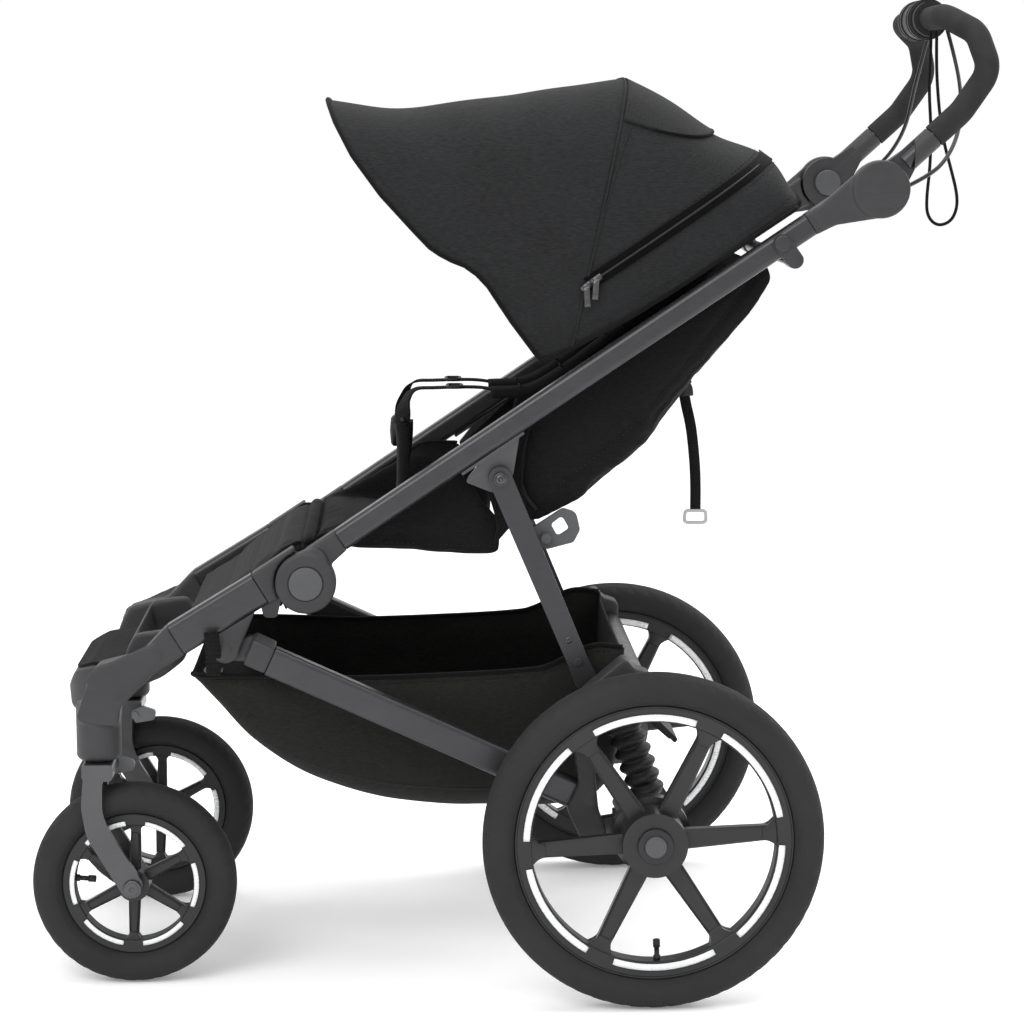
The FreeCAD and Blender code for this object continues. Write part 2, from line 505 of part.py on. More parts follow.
# ---- chassis ------------------------------------------------------------------------
def make_chassis():
    y = FRAME_HALF
    front = on_line(RAIL_POINT, RAIL_SLOPE, -90.0)
    back = on_line(RAIL_POINT, RAIL_SLOPE, 300.0)
    tube = oval_tube(front, back, RAIL_HALF, RAIL_DEPTH, RAIL_WIDTH)
    save_pair("chassis_rails", tube)

    tongue = disc(RAIL_HINGE, 14.0, y - 6.4, y + 6.4)
    neck = plate([polar(RAIL_HINGE, 14.0, 80), (-318.0, 426.0, 8), (-296.0, 428.0, 10),
                  on_line(RAIL_POINT, RAIL_SLOPE, -104.0, 16.0),
                  on_line(RAIL_POINT, RAIL_SLOPE, -104.0, -16.0),
                  (-322.0, 395.0, 10), polar(RAIL_HINGE, 14.0, 250)], y - 6.4, y + 6.4)
    step = plate([on_line(RAIL_POINT, RAIL_SLOPE, -118.0, 16.0),
                  on_line(RAIL_POINT, RAIL_SLOPE, -90.0, 16.0),
                  on_line(RAIL_POINT, RAIL_SLOPE, -90.0, -16.0),
                  on_line(RAIL_POINT, RAIL_SLOPE, -118.0, -16.0)], y - 6.4,
                 RAIL_HALF + RAIL_WIDTH / 2)
    elbow = union([tongue, neck, step])
    elbow = elbow.cut(hole(RAIL_HINGE, PIN_RADIUS + RUNNING_FIT, y - 10, y + 10))
    save_pair("rail_elbows", elbow)

    y0, y1 = RAIL_HALF - 14.0, RAIL_HALF + 22.0
    spine = plate([on_line(RAIL_POINT, RAIL_SLOPE, 300.0, 17.0),
                   on_line(RAIL_POINT, RAIL_SLOPE, 300.0, -17.0),
                   (84.0, 186.0, 8), (104.0, 180.0, 8), (114.0, 196.0, 8), (104.0, 224.0, 8),
                   (100.0, 262.0, 8), (100.0, 318.0, 12), (112.0, 338.0, 10),
                   (164.0, 330.0, 8), (166.0, 388.0, 10), (146.0, 394.0, 8),
                   (134.0, 408.0, 6), (108.0, 386.0, 10), (84.0, 366.0, 10),
                   (74.0, 300.0, 20)], y0, y1)
    spine = spine.cut(link(SUSPENSION_HINGE, 15.0, (REAR_AXLE[0] + 10, REAR_AXLE[1] + 4), 29.0,
                           y0 + 8.0, y1 - 8.0))
    bolt = dome((95.1, 232.7), 6.0, y1, y1 + 3.5, 1.2)
    pin = disc(SUSPENSION_HINGE, PIN_RADIUS, y0 + 4.0, y1 - 4.0)
    casting = union([spine, bolt, pin])
    save_pair("rear_castings", casting)

    beam = disc(CROSSBEAM, 15.0, -y0, y0, bore=13.0)
    ears = [plate([(144.0, 348.0), (164.0, 362.0), (178.0, 304.0), (172.0, 292.0),
                   (160.0, 294.0)], s * 34.0 - 4.0, s * 34.0 + 4.0) for s in (-1, 1)]
    solid = disc(CROSSBEAM, 14.0, -y0 + 1, y0 - 1)
    ears = [e.cut(solid) for e in ears]
    ears = [e.cut(hole(PEDAL_HINGE, 4.0 + RUNNING_FIT, -60, 60)) for e in ears]
    save("rear_crossbeam", union([beam] + ears))

    pedal = plate([(162.0, 296.0, 3), (168.0, 307.0, 4), (180.0, 300.0, 4),
                   (216.0, 262.0, 3), (211.0, 255.0, 3), (174.0, 288.0, 4)], -28.0, 28.0)
    pad = plate([(182.0, 299.0, 2), (218.0, 263.0, 2), (214.0, 258.0, 2),
                 (178.0, 294.0, 2)], -60.0, 60.0)
    axle = disc(PEDAL_HINGE, 4.0, -39.5, 39.5)
    save("brake_pedal", union([pedal, pad, axle]))

    arm_y0, arm_y1 = y0 + 8.0 + GAP, y1 - 8.0 - GAP
    beam = link(SUSPENSION_HINGE, 13.5, REAR_AXLE, 20.0, arm_y0, arm_y1)
    seat = disc((164.0, 216.0), 24.0, arm_y0, arm_y1)
    seat = seat.cut(plate([(120.0, 236.0), (210.0, 236.0), (210.0, 260.0), (120.0, 260.0)],
                          arm_y0 - 1, arm_y1 + 1))
    arm = union([beam, seat])
    arm = arm.cut(hole(SUSPENSION_HINGE, PIN_RADIUS + RUNNING_FIT, y0, y1))
    drum = disc(REAR_AXLE, 46.0, 268.0, REAR_TRACK_HALF - 24.0 - GAP)
    stub = disc(REAR_AXLE, 18.0, arm_y1 - 1.0, 269.0)
    shaft = disc(REAR_AXLE, AXLE_RADIUS, 260.0, REAR_TRACK_HALF + 17.0)
    lever = link((136.0, 218.0), 6.0, (124.0, 236.0), 5.0, 268.0, 272.0)
    save_sides("suspension_arm", union([arm, drum, stub, shaft, lever]))

    top = V(132.0, 0, 328.0)
    base = V(164.0, 0, 236.4)
    axis = base - top
    ribs = 6
    pitch = axis.Length / ribs
    outline = [(0.0, 0.0), (0.0, 19.0)]
    for index in range(ribs):
        at = index * pitch
        outline.append((at + pitch * 0.5, 23.0 - 0.6 * index))
        outline.append((at + pitch, 18.0 - 0.5 * index))
    outline.append((ribs * pitch, 0.0))
    direction = V(axis).normalize()
    sideways = V(0, 1, 0)
    points = [top + direction * along + sideways * radius for along, radius in outline]
    face = Part.Face(Part.makePolygon(points + [points[0]]))
    boot = face.revolve(top, direction, 360)
    boot.translate(V(0, RAIL_HALF + 4.0, 0))
    tight = plate([(90.0, 329.0), (190.0, 329.0), (190.0, 420.0), (90.0, 420.0)], y0, y1)
    boot = boot.cut(tight).cut(casting)
    boot = boot.cut(plate([(100.0, 150.0), (240.0, 150.0), (240.0, 236.8), (100.0, 236.8)],
                          200.0, 290.0))
    save_pair("suspension_boots", boot)


# ---- handlebar ----------------------------------------------------------------------
def handle_route():
    """Route of the bar from the right knuckle round to the left one."""
    y = FRAME_HALF
    half_route = [V(464.0, y, 983.0), V(529.0, y, 1042.0), V(562.4, y - 2, 1090.0),
                  V(550.0, y - 22, 1134.0), V(520.0, y - 62, 1155.0)]
    other = [V(p.x, -p.y, p.z) for p in reversed(half_route)]
    return half_route + other, [0, 60, 34, 34, 46, 46, 34, 34, 60, 0]


def make_handlebar():
    y = FRAME_HALF
    points, radii = handle_route()
    bar = swept(points, radii, BAR_RADIUS)
    save("handlebar_tube", bar)
    grip_start = V(498.0, y, 1013.9)
    grip_points = [grip_start] + points[1:-1] + [V(grip_start.x, -y, grip_start.z)]
    foam = swept(grip_points, radii, GRIP_RADIUS)
    middle = disc(CROSSBAR, 40.0, -52.0, 52.0)
    save("handlebar_grip", foam.cut(bar).cut(middle))

    knuckles = []
    inner, outer = y - 13.0, y + 3.0 - GAP / 2
    wheel = disc(HANDLE_HINGE, 32.0, inner, outer)
    sleeve = Part.makeCylinder(13.5, 79.0, V(438.0, y, 959.4), V(65.0, 0, 59.0))
    tongue = plate([polar(HANDLE_HINGE, 31.0, 78), polar(HANDLE_HINGE, 31.0, 4),
                    (480.0, 984.0, 4), (466.0, 1000.0, 4)], inner, outer)
    knuckle = union([wheel, sleeve, tongue])
    knuckle = knuckle.cut(Part.makeBox(200, 40, 200, V(360.0, outer, 860.0)).cut(
        Part.makeBox(200, 60, 200, V(474.0, outer - 10, 860.0))))
    clear_hub = hole(HANDLE_HINGE, 35.2, outer, y + 40.0)
    bar_solid = swept(points, radii, BAR_RADIUS)
    knuckle = knuckle.cut(clear_hub).cut(bar_solid)
    knuckle = knuckle.cut(hole(HANDLE_HINGE, PIN_RADIUS + RUNNING_FIT, y - 7.0, y + 20.0))
    knuckle = knuckle.cut(hole(HANDLE_HINGE, 17.2, inner - 1, inner + 5.0))
    save_pair("handle_knuckles", knuckle)

    button = dome(HANDLE_HINGE, 16.8, 0.0, 7.0, 2.0)
    button = button.mirror(V(0, 0, 0), V(0, 1, 0))
    button.translate(V(0, inner + 0.9, 0))
    save_sides("handle_button", button)

    collar = disc(CROSSBAR, 21.0, 38.0, 51.5, bore=BAR_RADIUS)
    save_pair("twist_collars", collar.cut(bar_solid))
    grip = disc(CROSSBAR, 23.5, -37.4, 37.4, bore=BAR_RADIUS + RUNNING_FIT)
    ridges = [disc(CROSSBAR, 25.0, at, at + 5.0, bore=22.0) for at in (-32, -20, 15, 27)]
    save("brake_twist_grip", union([grip] + ridges))


# ---- cables and strap ---------------------------------------------------------------
BRAKE_CABLE_LEFT = [(540.0, -44.8, 1148.0), (550.0, -50.0, 1112.0), (554.0, -78.0, 1068.0),
                    (547.0, -110.0, 1024.0), (528.0, -144.0, 991.0), (501.0, -172.0, 968.0),
                    (465.5, -190.0, 953.5)]
BRAKE_CABLE_RIGHT = [(538.0, 44.8, 1146.0), (530.0, 52.0, 1108.0), (525.0, 76.0, 1070.0),
                     (522.0, 108.0, 1024.0), (508.0, 148.0, 987.0), (487.0, 174.0, 966.0),
                     (465.5, 190.0, 953.5)]
WRIST_STRAP = [(524.0, -70.0, 1139.0), (524.0, -70.0, 1104.0), (527.0, -72.0, 1058.0),
               (533.0, -74.0, 1012.0), (545.0, -73.0, 972.0), (553.0, -71.0, 944.0),
               (554.0, -68.0, 925.0), (547.0, -65.0, 909.0), (531.0, -62.0, 904.0),
               (519.0, -60.0, 916.0), (518.0, -58.0, 938.0), (522.0, -57.0, 976.0),
               (522.0, -58.0, 1022.0), (518.0, -59.0, 1070.0), (519.0, -60.0, 1108.0),
               (519.0, -60.0, 1139.0)]


def cord(name, route, diameter):
    points = [V(*p) for p in route]
    radii = [0.0]
    for i in range(1, len(points) - 1):
        before = points[i - 1] - points[i]
        after = points[i + 1] - points[i]
        half_turn = (math.pi - before.getAngle(after)) / 2
        run = min(before.Length, after.Length)
        radii.append(0.45 * run / math.tan(half_turn))
    radii.append(0.0)
    shape = swept(points, radii, diameter / 2)
    length = rounded_wire(points, radii).Length
    section = math.pi * diameter ** 2 / 4
    print("%s length %.0f mm, radii %s, volume ratio %.4f" % (
        name, length, " ".join("%.0f" % r for r in radii[1:-1]),
        shape.Volume / (section * length)))
    save(name, shape)


# ---- soft parts ---------------------------------------------------------------------
SEAT_HALF = 172.0
SEAT_WALL = 16.0


def trough(outer, inner, half, wall):
    """Closed solid of a fabric trough: an outer outline less an inner, narrower one."""
    return plate(outer, -half, half).cut(plate(inner, -half + wall, half - wall))


def arch(base, top, half, thickness):
    """Closed thin arch in a slanted plane, from one side of the seat to the other."""
    steps = 14
    power = 0.56

    def curve(inset):
        points = []
        for i in range(steps + 1):
            angle = math.pi * i / steps
            c, s = math.cos(angle), max(math.sin(angle), 0.0)
            y = -(half - inset) * math.copysign(abs(c) ** power, c)
            rise = s ** power
            span = V(top[0] - base[0], 0, top[1] - base[1])
            reach = span.Length - inset
            points.append(V(base[0], y, base[1]) + V(span).normalize() * (reach * rise))
        return points

    outer, inner = curve(0.0), curve(thickness)
    return Part.makePolygon(outer + inner[::-1] + [outer[0]])


def make_canopy():
    seam = ((76.0, 797.0), (146.4, 1083.0))
    brow = ((70.0, 793.0), (138.0, 1082.5))
    rear = [seam, ((140.0, 818.0), (206.0, 1053.0)), ((204.0, 861.0), (258.0, 1022.0)),
            ((276.0, 909.0), (322.0, 990.0)), ((330.0, 948.0), (346.0, 962.0))]
    rear_wires = [arch(base, top, 204.0 if i < 4 else 196.0, 5.0)
                  for i, (base, top) in enumerate(rear)]
    save("canopy", Part.makeLoft(rear_wires, True, True))
    front = [brow, ((50.0, 776.0), (-32.0, 1062.0)), ((40.0, 768.0), (-136.0, 1052.0)),
             ((32.0, 762.0), (-214.0, 1058.0))]
    front_wires = [arch(base, top, 204.0, 5.0) for base, top in front]
    save("canopy_visor", Part.makeLoft(front_wires, True, True))


def hoop(foot, crown, radius):
    """Round spring-steel hoop: two legs and a crown, in a slanted plane."""
    y = FRAME_HALF - 14.0

    def at(share, y_here):
        return V(foot[0] + share * (crown[0] - foot[0]), y_here,
                 foot[1] + share * (crown[1] - foot[1]))

    half = [at(0.0, y), at(0.62, y - 8.0), at(0.9, y - 66.0)]
    points = half + [V(p.x, -p.y, p.z) for p in reversed(half)]
    return swept(points, [0, 90, 70, 70, 90, 0], radius)


def make_canopy_hoops():
    y = FRAME_HALF - 14.0
    feet = [disc(CANOPY_HINGE, 8.0, s * y - 4.0, s * y + 4.0) for s in (-1, 1)]
    save("canopy_bow", union([hoop(CANOPY_HINGE, (138.0, 1070.0), 3.0)] + feet))
    save("visor_wire", hoop((40.0, 776.0), (-200.0, 1046.0), 2.0))


def make_seat():
    pan_outer = [(-238.0, 526.0), (-203.0, 528.0), (-51.0, 519.0, 30), (-6.0, 519.0, 10),
                 (-6.0, 560.0), (-50.0, 616.0, 10), (-100.0, 616.0, 20), (-139.0, 594.0, 20),
                 (-199.0, 552.0, 20), (-232.0, 541.0, 6)]
    pan_inner = [(-250.0, 543.0), (-203.0, 541.0), (-60.0, 532.0), (2.0, 532.0),
                 (2.0, 660.0), (-260.0, 660.0)]
    save("seat_pan", trough(pan_outer, pan_inner, SEAT_HALF, SEAT_WALL))

    back_outer = [(0.0, 556.0, 6), (34.0, 561.0, 14), (85.0, 586.0, 60), (161.0, 650.0, 60),
                  (219.0, 724.0, 60), (292.0, 816.0, 60), (314.0, 852.0, 10),
                  (300.0, 880.0, 8), (150.0, 778.0), (22.0, 690.0, 20)]
    back_inner = [(2.0, 600.0), (28.0, 588.0), (76.0, 610.0), (144.0, 668.0),
                  (202.0, 740.0), (300.0, 862.0), (300.0, 920.0), (0.0, 720.0)]
    save("backrest", trough(back_outer, back_inner, SEAT_HALF, SEAT_WALL))

    leg = [(-398.0, 432.0, 4), (-348.0, 461.0, 10), (-326.0, 480.0, 10), (-267.0, 527.0, 10),
           (-242.0, 540.0, 3), (-240.0, 528.0, 2), (-300.0, 482.0, 20), (-332.0, 454.0, 20),
           (-384.0, 421.0, 4)]
    save("leg_panel", plate(leg, -SEAT_HALF, SEAT_HALF))

    basket_outer = [(-374.0, 374.0, 6), (-348.0, 337.0, 50), (-307.0, 284.0, 60),
                    (-254.0, 246.0, 80), (-184.0, 216.0, 120), (-114.0, 201.0, 150),
                    (-30.0, 195.0, 150), (94.0, 199.0, 40), (128.0, 236.0, 30),
                    (136.0, 330.0, 20), (135.0, 408.0, 4), (98.0, 410.0, 10),
                    (50.0, 386.0, 10)]
    basket_inner = [(-366.0, 420.0), (-366.0, 380.0), (-342.0, 341.0), (-303.0, 290.0),
                    (-252.0, 252.0), (-184.0, 222.0), (-114.0, 207.0), (-30.0, 201.0),
                    (90.0, 206.0), (122.0, 240.0), (130.0, 332.0), (129.0, 440.0)]
    save("basket", trough(basket_outer, basket_inner, 198.0, 5.0))


def make_harness():
    hips = [plate([(-137.0, 540.0, 6), (-113.0, 539.0, 6), (-113.0, 655.0, 8),
                   (-126.0, 669.0, 6), (-137.0, 634.0, 6)], s * 62.0 - 26.0, s * 62.0 + 26.0)
            for s in (-1, 1)]
    straps = []
    for s in (-1, 1):
        path = [(-124.0, 662.0), (-110.0, 704.0), (-34.0, 707.0), (24.0, 700.0),
                (60.0, 724.0), (150.0, 790.0)]
        under = [(p[0] + 2, p[1] - 11) for p in path[::-1]]
        body = path + under
        straps.append(plate(body, s * 50.0 - 24.0, s * 50.0 + 24.0))
    save("harness_pads", Part.Compound([union([hips[i], straps[i]]) for i in (0, 1)]))
    save("harness_buckle", plate([(-136.0, 540.0, 4), (-124.0, 539.0, 4), (-108.0, 664.0, 6),
                                  (-122.0, 668.0, 6)], -26.0, 26.0))


def make_strap_and_latch():
    lock = plate([(222.0, 722.0, 3), (230.0, 716.0, 4), (230.0, 700.0, 5), (220.0, 698.0, 4),
                  (210.0, 708.0, 3)], -112.0, -88.0)
    tail = plate([(214.0, 702.0, 2), (220.0, 702.0, 2), (232.0, 640.0, 60), (236.0, 560.0),
                  (230.0, 560.0), (226.0, 640.0, 60)], -112.0, -90.0)
    ring = plate([(218.0, 560.0, 3), (218.0, 542.0, 8), (248.0, 542.0, 8), (248.0, 560.0, 3)],
                 -103.0, -98.0)
    ring = ring.cut(plate([(221.0, 557.0, 2), (221.0, 545.0, 5), (245.0, 545.0, 5),
                           (245.0, 557.0, 2)], -104.0, -97.0))
    back = written["backrest"]
    save("recline_strap", union([lock, tail, ring]).cut(back))

    hook = plate([(24.0, 550.0, 3), (64.0, 576.0, 8), (80.0, 571.0, 10), (85.0, 550.0, 9),
                  (77.0, 535.0, 6), (46.0, 527.0, 3), (36.0, 530.0, 3)], 188.0, 196.0)
    window = plate([(50.0, 557.0, 4), (63.0, 567.0, 4), (72.0, 551.0, 4), (58.0, 542.0, 4)],
                   180.0, 200.0)
    boss = disc(LATCH_HINGE, 6.0, 188.0, STRUT_IN - GAP)
    save("fold_latch", mirrored(union([hook.cut(window), boss])))


os.makedirs("parts", exist_ok=True)
make_rear_wheels()
make_front_wheels()
make_forks()
make_front_frame()
make_footrest()
make_upper_frame()
make_struts()
make_chassis()
make_handlebar()
cord("brake_cable_left", BRAKE_CABLE_LEFT, CABLE_DIAMETER)
cord("brake_cable_right", BRAKE_CABLE_RIGHT, CABLE_DIAMETER)
cord("wrist_strap", WRIST_STRAP, STRAP_DIAMETER)
make_canopy()
make_canopy_hoops()
make_seat()
make_harness()
make_strap_and_latch()
print(len(written), "nodes")
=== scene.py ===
import math
import bmesh
import bpy
import numpy as np
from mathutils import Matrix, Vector, noise
from mathutils.bvhtree import BVHTree


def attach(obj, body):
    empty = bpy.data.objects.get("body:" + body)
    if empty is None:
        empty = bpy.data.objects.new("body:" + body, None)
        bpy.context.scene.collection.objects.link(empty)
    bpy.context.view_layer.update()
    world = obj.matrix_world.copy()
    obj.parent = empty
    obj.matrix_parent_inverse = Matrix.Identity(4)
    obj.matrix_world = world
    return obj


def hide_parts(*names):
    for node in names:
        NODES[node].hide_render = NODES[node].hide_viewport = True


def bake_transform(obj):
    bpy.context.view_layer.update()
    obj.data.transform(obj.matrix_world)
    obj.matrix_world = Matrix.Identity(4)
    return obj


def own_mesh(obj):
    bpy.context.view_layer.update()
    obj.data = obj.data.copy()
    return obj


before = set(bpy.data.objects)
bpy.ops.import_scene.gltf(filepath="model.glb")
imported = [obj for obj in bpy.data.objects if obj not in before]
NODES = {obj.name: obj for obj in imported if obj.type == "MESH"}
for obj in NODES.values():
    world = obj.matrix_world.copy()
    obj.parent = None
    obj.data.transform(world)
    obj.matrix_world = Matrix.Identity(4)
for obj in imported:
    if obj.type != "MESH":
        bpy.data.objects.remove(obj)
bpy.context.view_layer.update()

SCENE = bpy.context.scene
NEAR, FAR = -1, 1               # -Y is the stroller's left side


# ---- camera, light and floor --------------------------------------------------------
def make_camera():
    data = bpy.data.cameras.new("camera")
    data.lens = 95.0
    data.sensor_width = 36.0
    camera = bpy.data.objects.new("camera", data)
    camera.location = (-0.1264, -3.3692, 1.02195)
    camera.rotation_mode = "QUATERNION"
    camera.rotation_quaternion = Vector((0.04101, 1.0, -0.14184)).to_track_quat("-Z", "Y")
    SCENE.collection.objects.link(camera)
    SCENE.camera = camera


def make_light(name, place, target, size, power):
    data = bpy.data.lights.new(name, "AREA")
    data.shape = "RECTANGLE"
    data.size, data.size_y = size
    data.energy = power
    lamp = bpy.data.objects.new(name, data)
    lamp.location = place
    lamp.rotation_mode = "QUATERNION"
    lamp.rotation_quaternion = (Vector(target) - Vector(place)).to_track_quat("-Z", "Y")
    SCENE.collection.objects.link(lamp)


def make_studio():
    world = bpy.data.worlds.new("studio")
    world.use_nodes = True
    sky = world.node_tree.nodes["Background"]
    sky.inputs["Color"].default_value = (1.0, 1.0, 1.0, 1.0)
    sky.inputs["Strength"].default_value = 1.0
    SCENE.world = world
    SCENE.view_settings.view_transform = "Standard"
    make_light("key", (-1.6, -2.6, 3.0), (0.0, 0.0, 0.5), (2.2, 1.6), 60)
    make_light("top", (0.4, 0.2, 3.4), (0.0, 0.0, 0.6), (2.6, 2.2), 60)
    make_light("rim", (2.6, 1.6, 2.2), (0.0, 0.0, 0.6), (1.6, 1.6), 40)
    floor = bpy.data.meshes.new("floor")
    ring = [(9 * math.cos(a), 9 * math.sin(a), 0.0)
            for a in (math.tau * i / 64 for i in range(64))]
    floor.from_pydata(ring, [], [list(range(64))])
    stage = bpy.data.objects.new("floor", floor)
    SCENE.collection.objects.link(stage)
    paper = finish("floor_paper", (0.93, 0.93, 0.93), 0.95, grain=(300, 0.00005), wear=0.004)
    glow = paper.node_tree.nodes["Principled BSDF"].inputs
    glow["Emission Color"].default_value = (1.0, 1.0, 1.0, 1.0)
    glow["Emission Strength"].default_value = 0.16
    floor.materials.append(paper)


# ---- materials ----------------------------------------------------------------------
class Graph:
    """The node tree of one new material, with its shader."""

    def __init__(self, name):
        self.material = bpy.data.materials.new(name)
        self.material.use_nodes = True
        self.tree = self.material.node_tree
        self.shader = self.tree.nodes["Principled BSDF"]
        self.place = self.node("ShaderNodeTexCoord").outputs["Object"]

    def node(self, kind, **settings):
        made = self.tree.nodes.new(kind)
        for key, value in settings.items():
            if hasattr(made, key):
                setattr(made, key, value)
            else:
                made.inputs[key].default_value = value
        return made

    def link(self, a, b):
        self.tree.links.new(a, b)

    def maths(self, operation, a, b=None):
        made = self.node("ShaderNodeMath", operation=operation)
        for socket, value in zip(made.inputs, (a, b)):
            if isinstance(value, (int, float)):
                socket.default_value = value
            elif value is not None:
                self.link(value, socket)
        return made.outputs[0]

    def noise(self, scale, detail=3.0, stretch=(1, 1, 1)):
        mapping = self.node("ShaderNodeMapping")
        mapping.inputs["Scale"].default_value = stretch
        self.link(self.place, mapping.inputs["Vector"])
        made = self.node("ShaderNodeTexNoise")
        made.inputs["Scale"].default_value = scale
        made.inputs["Detail"].default_value = detail
        made.inputs["Roughness"].default_value = 0.6
        self.link(mapping.outputs[0], made.inputs["Vector"])
        return made.outputs["Fac"]

    def colour(self, factor, low, high, spread=(0.3, 0.7)):
        ramp = self.node("ShaderNodeValToRGB")
        ramp.color_ramp.elements[0].position = spread[0]
        ramp.color_ramp.elements[1].position = spread[1]
        ramp.color_ramp.elements[0].color = (*low, 1.0)
        ramp.color_ramp.elements[1].color = (*high, 1.0)
        self.link(factor, ramp.inputs["Fac"])
        return ramp.outputs["Color"]

    def range(self, factor, low, high):
        made = self.node("ShaderNodeMapRange")
        made.inputs["From Min"].default_value = 0.3
        made.inputs["From Max"].default_value = 0.7
        made.inputs["To Min"].default_value = low
        made.inputs["To Max"].default_value = high
        self.link(factor, made.inputs["Value"])
        return made.outputs[0]

    def bump(self, height, depth, strength=1.0, under=None):
        made = self.node("ShaderNodeBump")
        made.inputs["Strength"].default_value = strength
        made.inputs["Distance"].default_value = depth
        self.link(height, made.inputs["Height"])
        if under is not None:
            self.link(under, made.inputs["Normal"])
        return made.outputs[0]

    def weave(self, pitch):
        """Crossed threads on a face turned any way: sines of two axes at a time."""
        split = self.node("ShaderNodeSeparateXYZ")
        self.link(self.place, split.inputs[0])
        k = math.tau / pitch
        x, y, z = (self.maths("SINE", self.maths("MULTIPLY", out, k))
                   for out in split.outputs)
        total = self.maths("ADD", self.maths("MULTIPLY", x, z), self.maths("MULTIPLY", x, y))
        return self.maths("ADD", total, self.maths("MULTIPLY", y, z))


def shade(colour, factor):
    return tuple(min(c * factor, 1.0) for c in colour)


def finish(name, colour, rough, metallic=0.0, grain=(900, 0.00025), wear=0.25,
           coat=0.0, stretch=(1, 1, 1), gloss=0.3):
    """Moulded, painted or metal surface: fine grain, patchy gloss and slight scuffs."""
    g = Graph(name)
    g.shader.inputs["Metallic"].default_value = metallic
    g.shader.inputs["Coat Weight"].default_value = coat
    g.shader.inputs["Coat Roughness"].default_value = 0.3
    g.shader.inputs["Specular IOR Level"].default_value = gloss
    broad = g.noise(9.0, 4.0)
    scuff = g.noise(60.0, 6.0, (1.0, 1.0, 3.0))
    tone = g.maths("ADD", g.maths("MULTIPLY", broad, 0.6), g.maths("MULTIPLY", scuff, 0.4))
    g.link(g.colour(tone, shade(colour, 1 - wear), shade(colour, 1 + wear)),
           g.shader.inputs["Base Color"])
    g.link(g.range(scuff, rough - 0.07, rough + 0.07), g.shader.inputs["Roughness"])
    fine = g.noise(grain[0], 2.0, stretch)
    g.link(g.bump(fine, grain[1]), g.shader.inputs["Normal"])
    return g.material


def cloth(name, dark, light, pitch, depth=0.00018, rough=0.9, sheen=0.04, melange=True,
          gloss=0.1):
    """Woven cloth: thread pattern in height and tone, melange flecks, broad creases."""
    g = Graph(name)
    g.shader.inputs["Sheen Weight"].default_value = sheen
    g.shader.inputs["Sheen Roughness"].default_value = 0.5
    g.shader.inputs["Specular IOR Level"].default_value = gloss
    threads = g.weave(pitch)
    fleck = g.noise(420.0, 2.0, (0.35, 0.35, 2.2) if melange else (1, 1, 1))
    broad = g.noise(7.0, 3.0)
    tone = g.maths("ADD", g.maths("MULTIPLY", threads, 0.04),
                   g.maths("MULTIPLY", fleck, 0.75 if melange else 0.4))
    tone = g.maths("ADD", tone, g.maths("MULTIPLY", broad, 0.3 if melange else 0.6))
    g.link(g.colour(tone, dark, light, (0.35, 0.75)), g.shader.inputs["Base Color"])
    g.link(g.range(broad, rough - 0.06, rough + 0.06), g.shader.inputs["Roughness"])
    creases = g.bump(g.noise(26.0, 4.0), 0.0016, 0.5)
    g.link(g.bump(threads, depth, 0.6, creases), g.shader.inputs["Normal"])
    return g.material


def foam(name, colour):
    """Closed-cell foam: fine pits over a soft, slightly uneven skin."""
    g = Graph(name)
    cells = g.node("ShaderNodeTexVoronoi")
    cells.inputs["Scale"].default_value = 900.0
    g.link(g.place, cells.inputs["Vector"])
    g.shader.inputs["Specular IOR Level"].default_value = 0.15
    g.link(g.colour(g.noise(30.0, 5.0), shade(colour, 0.8), shade(colour, 1.25)),
           g.shader.inputs["Base Color"])
    g.link(g.range(g.noise(80.0), 0.82, 0.95), g.shader.inputs["Roughness"])
    g.link(g.bump(cells.outputs["Distance"], 0.0003, 0.7), g.shader.inputs["Normal"])
    return g.material


PAINT = finish("frame_paint", (0.046, 0.046, 0.049), 0.36, 0.7, (700, 0.00008), 0.18, 0.15)
SATIN = finish("satin_metal", (0.075, 0.075, 0.078), 0.36, 0.8, (700, 0.00008), 0.15, 0.15)
CAST = finish("cast_plastic", (0.031, 0.031, 0.033), 0.5, 0.0, (1100, 0.0003), 0.2)
CAP = finish("cap_plastic", (0.068, 0.069, 0.074), 0.45, 0.0, (1100, 0.0002), 0.15)
BLACK = finish("black_plastic", (0.009, 0.009, 0.0093), 0.45, 0.0, (1100, 0.0003), 0.3)
RIM = finish("rim_plastic", (0.016, 0.016, 0.0172), 0.38, 0.1, (900, 0.00015), 0.25, 0.1)
TYRE = finish("tyre_rubber", (0.0215, 0.0215, 0.0222), 0.78, 0.0, (500, 0.0004), 0.25,
              gloss=0.18)
TREAD = finish("tread_rubber", (0.009, 0.009, 0.0093), 0.85, 0.0, (600, 0.0004), 0.3,
               gloss=0.15)
BOOT = finish("boot_rubber", (0.008, 0.008, 0.0083), 0.55, 0.0, (500, 0.0003), 0.3)
ZINC = finish("zinc_steel", (0.36, 0.36, 0.37), 0.32, 1.0, (1200, 0.00008), 0.2)
GUN = finish("gunmetal", (0.085, 0.085, 0.088), 0.32, 0.9, (1200, 0.00005), 0.2)
CHROME = finish("polished_steel", (0.55, 0.55, 0.56), 0.22, 1.0, (1200, 0.00004), 0.12)
LIGHT = finish("light_plastic", (0.36, 0.365, 0.37), 0.35, 0.0, (900, 0.00012), 0.06, 0.2)
LOCK = finish("lock_plastic", (0.17, 0.175, 0.18), 0.4, 0.0, (900, 0.00015), 0.1)
REFLECT = finish("reflector_film", (0.74, 0.75, 0.76), 0.28, 0.35, (1500, 0.0004), 0.08, 0.4)
SHEATH = finish("cable_sheath", (0.009, 0.009, 0.009), 0.35, 0.0, (800, 0.00008), 0.3, 0.2)
FOAM = foam("grip_foam", (0.0225, 0.0225, 0.0235))
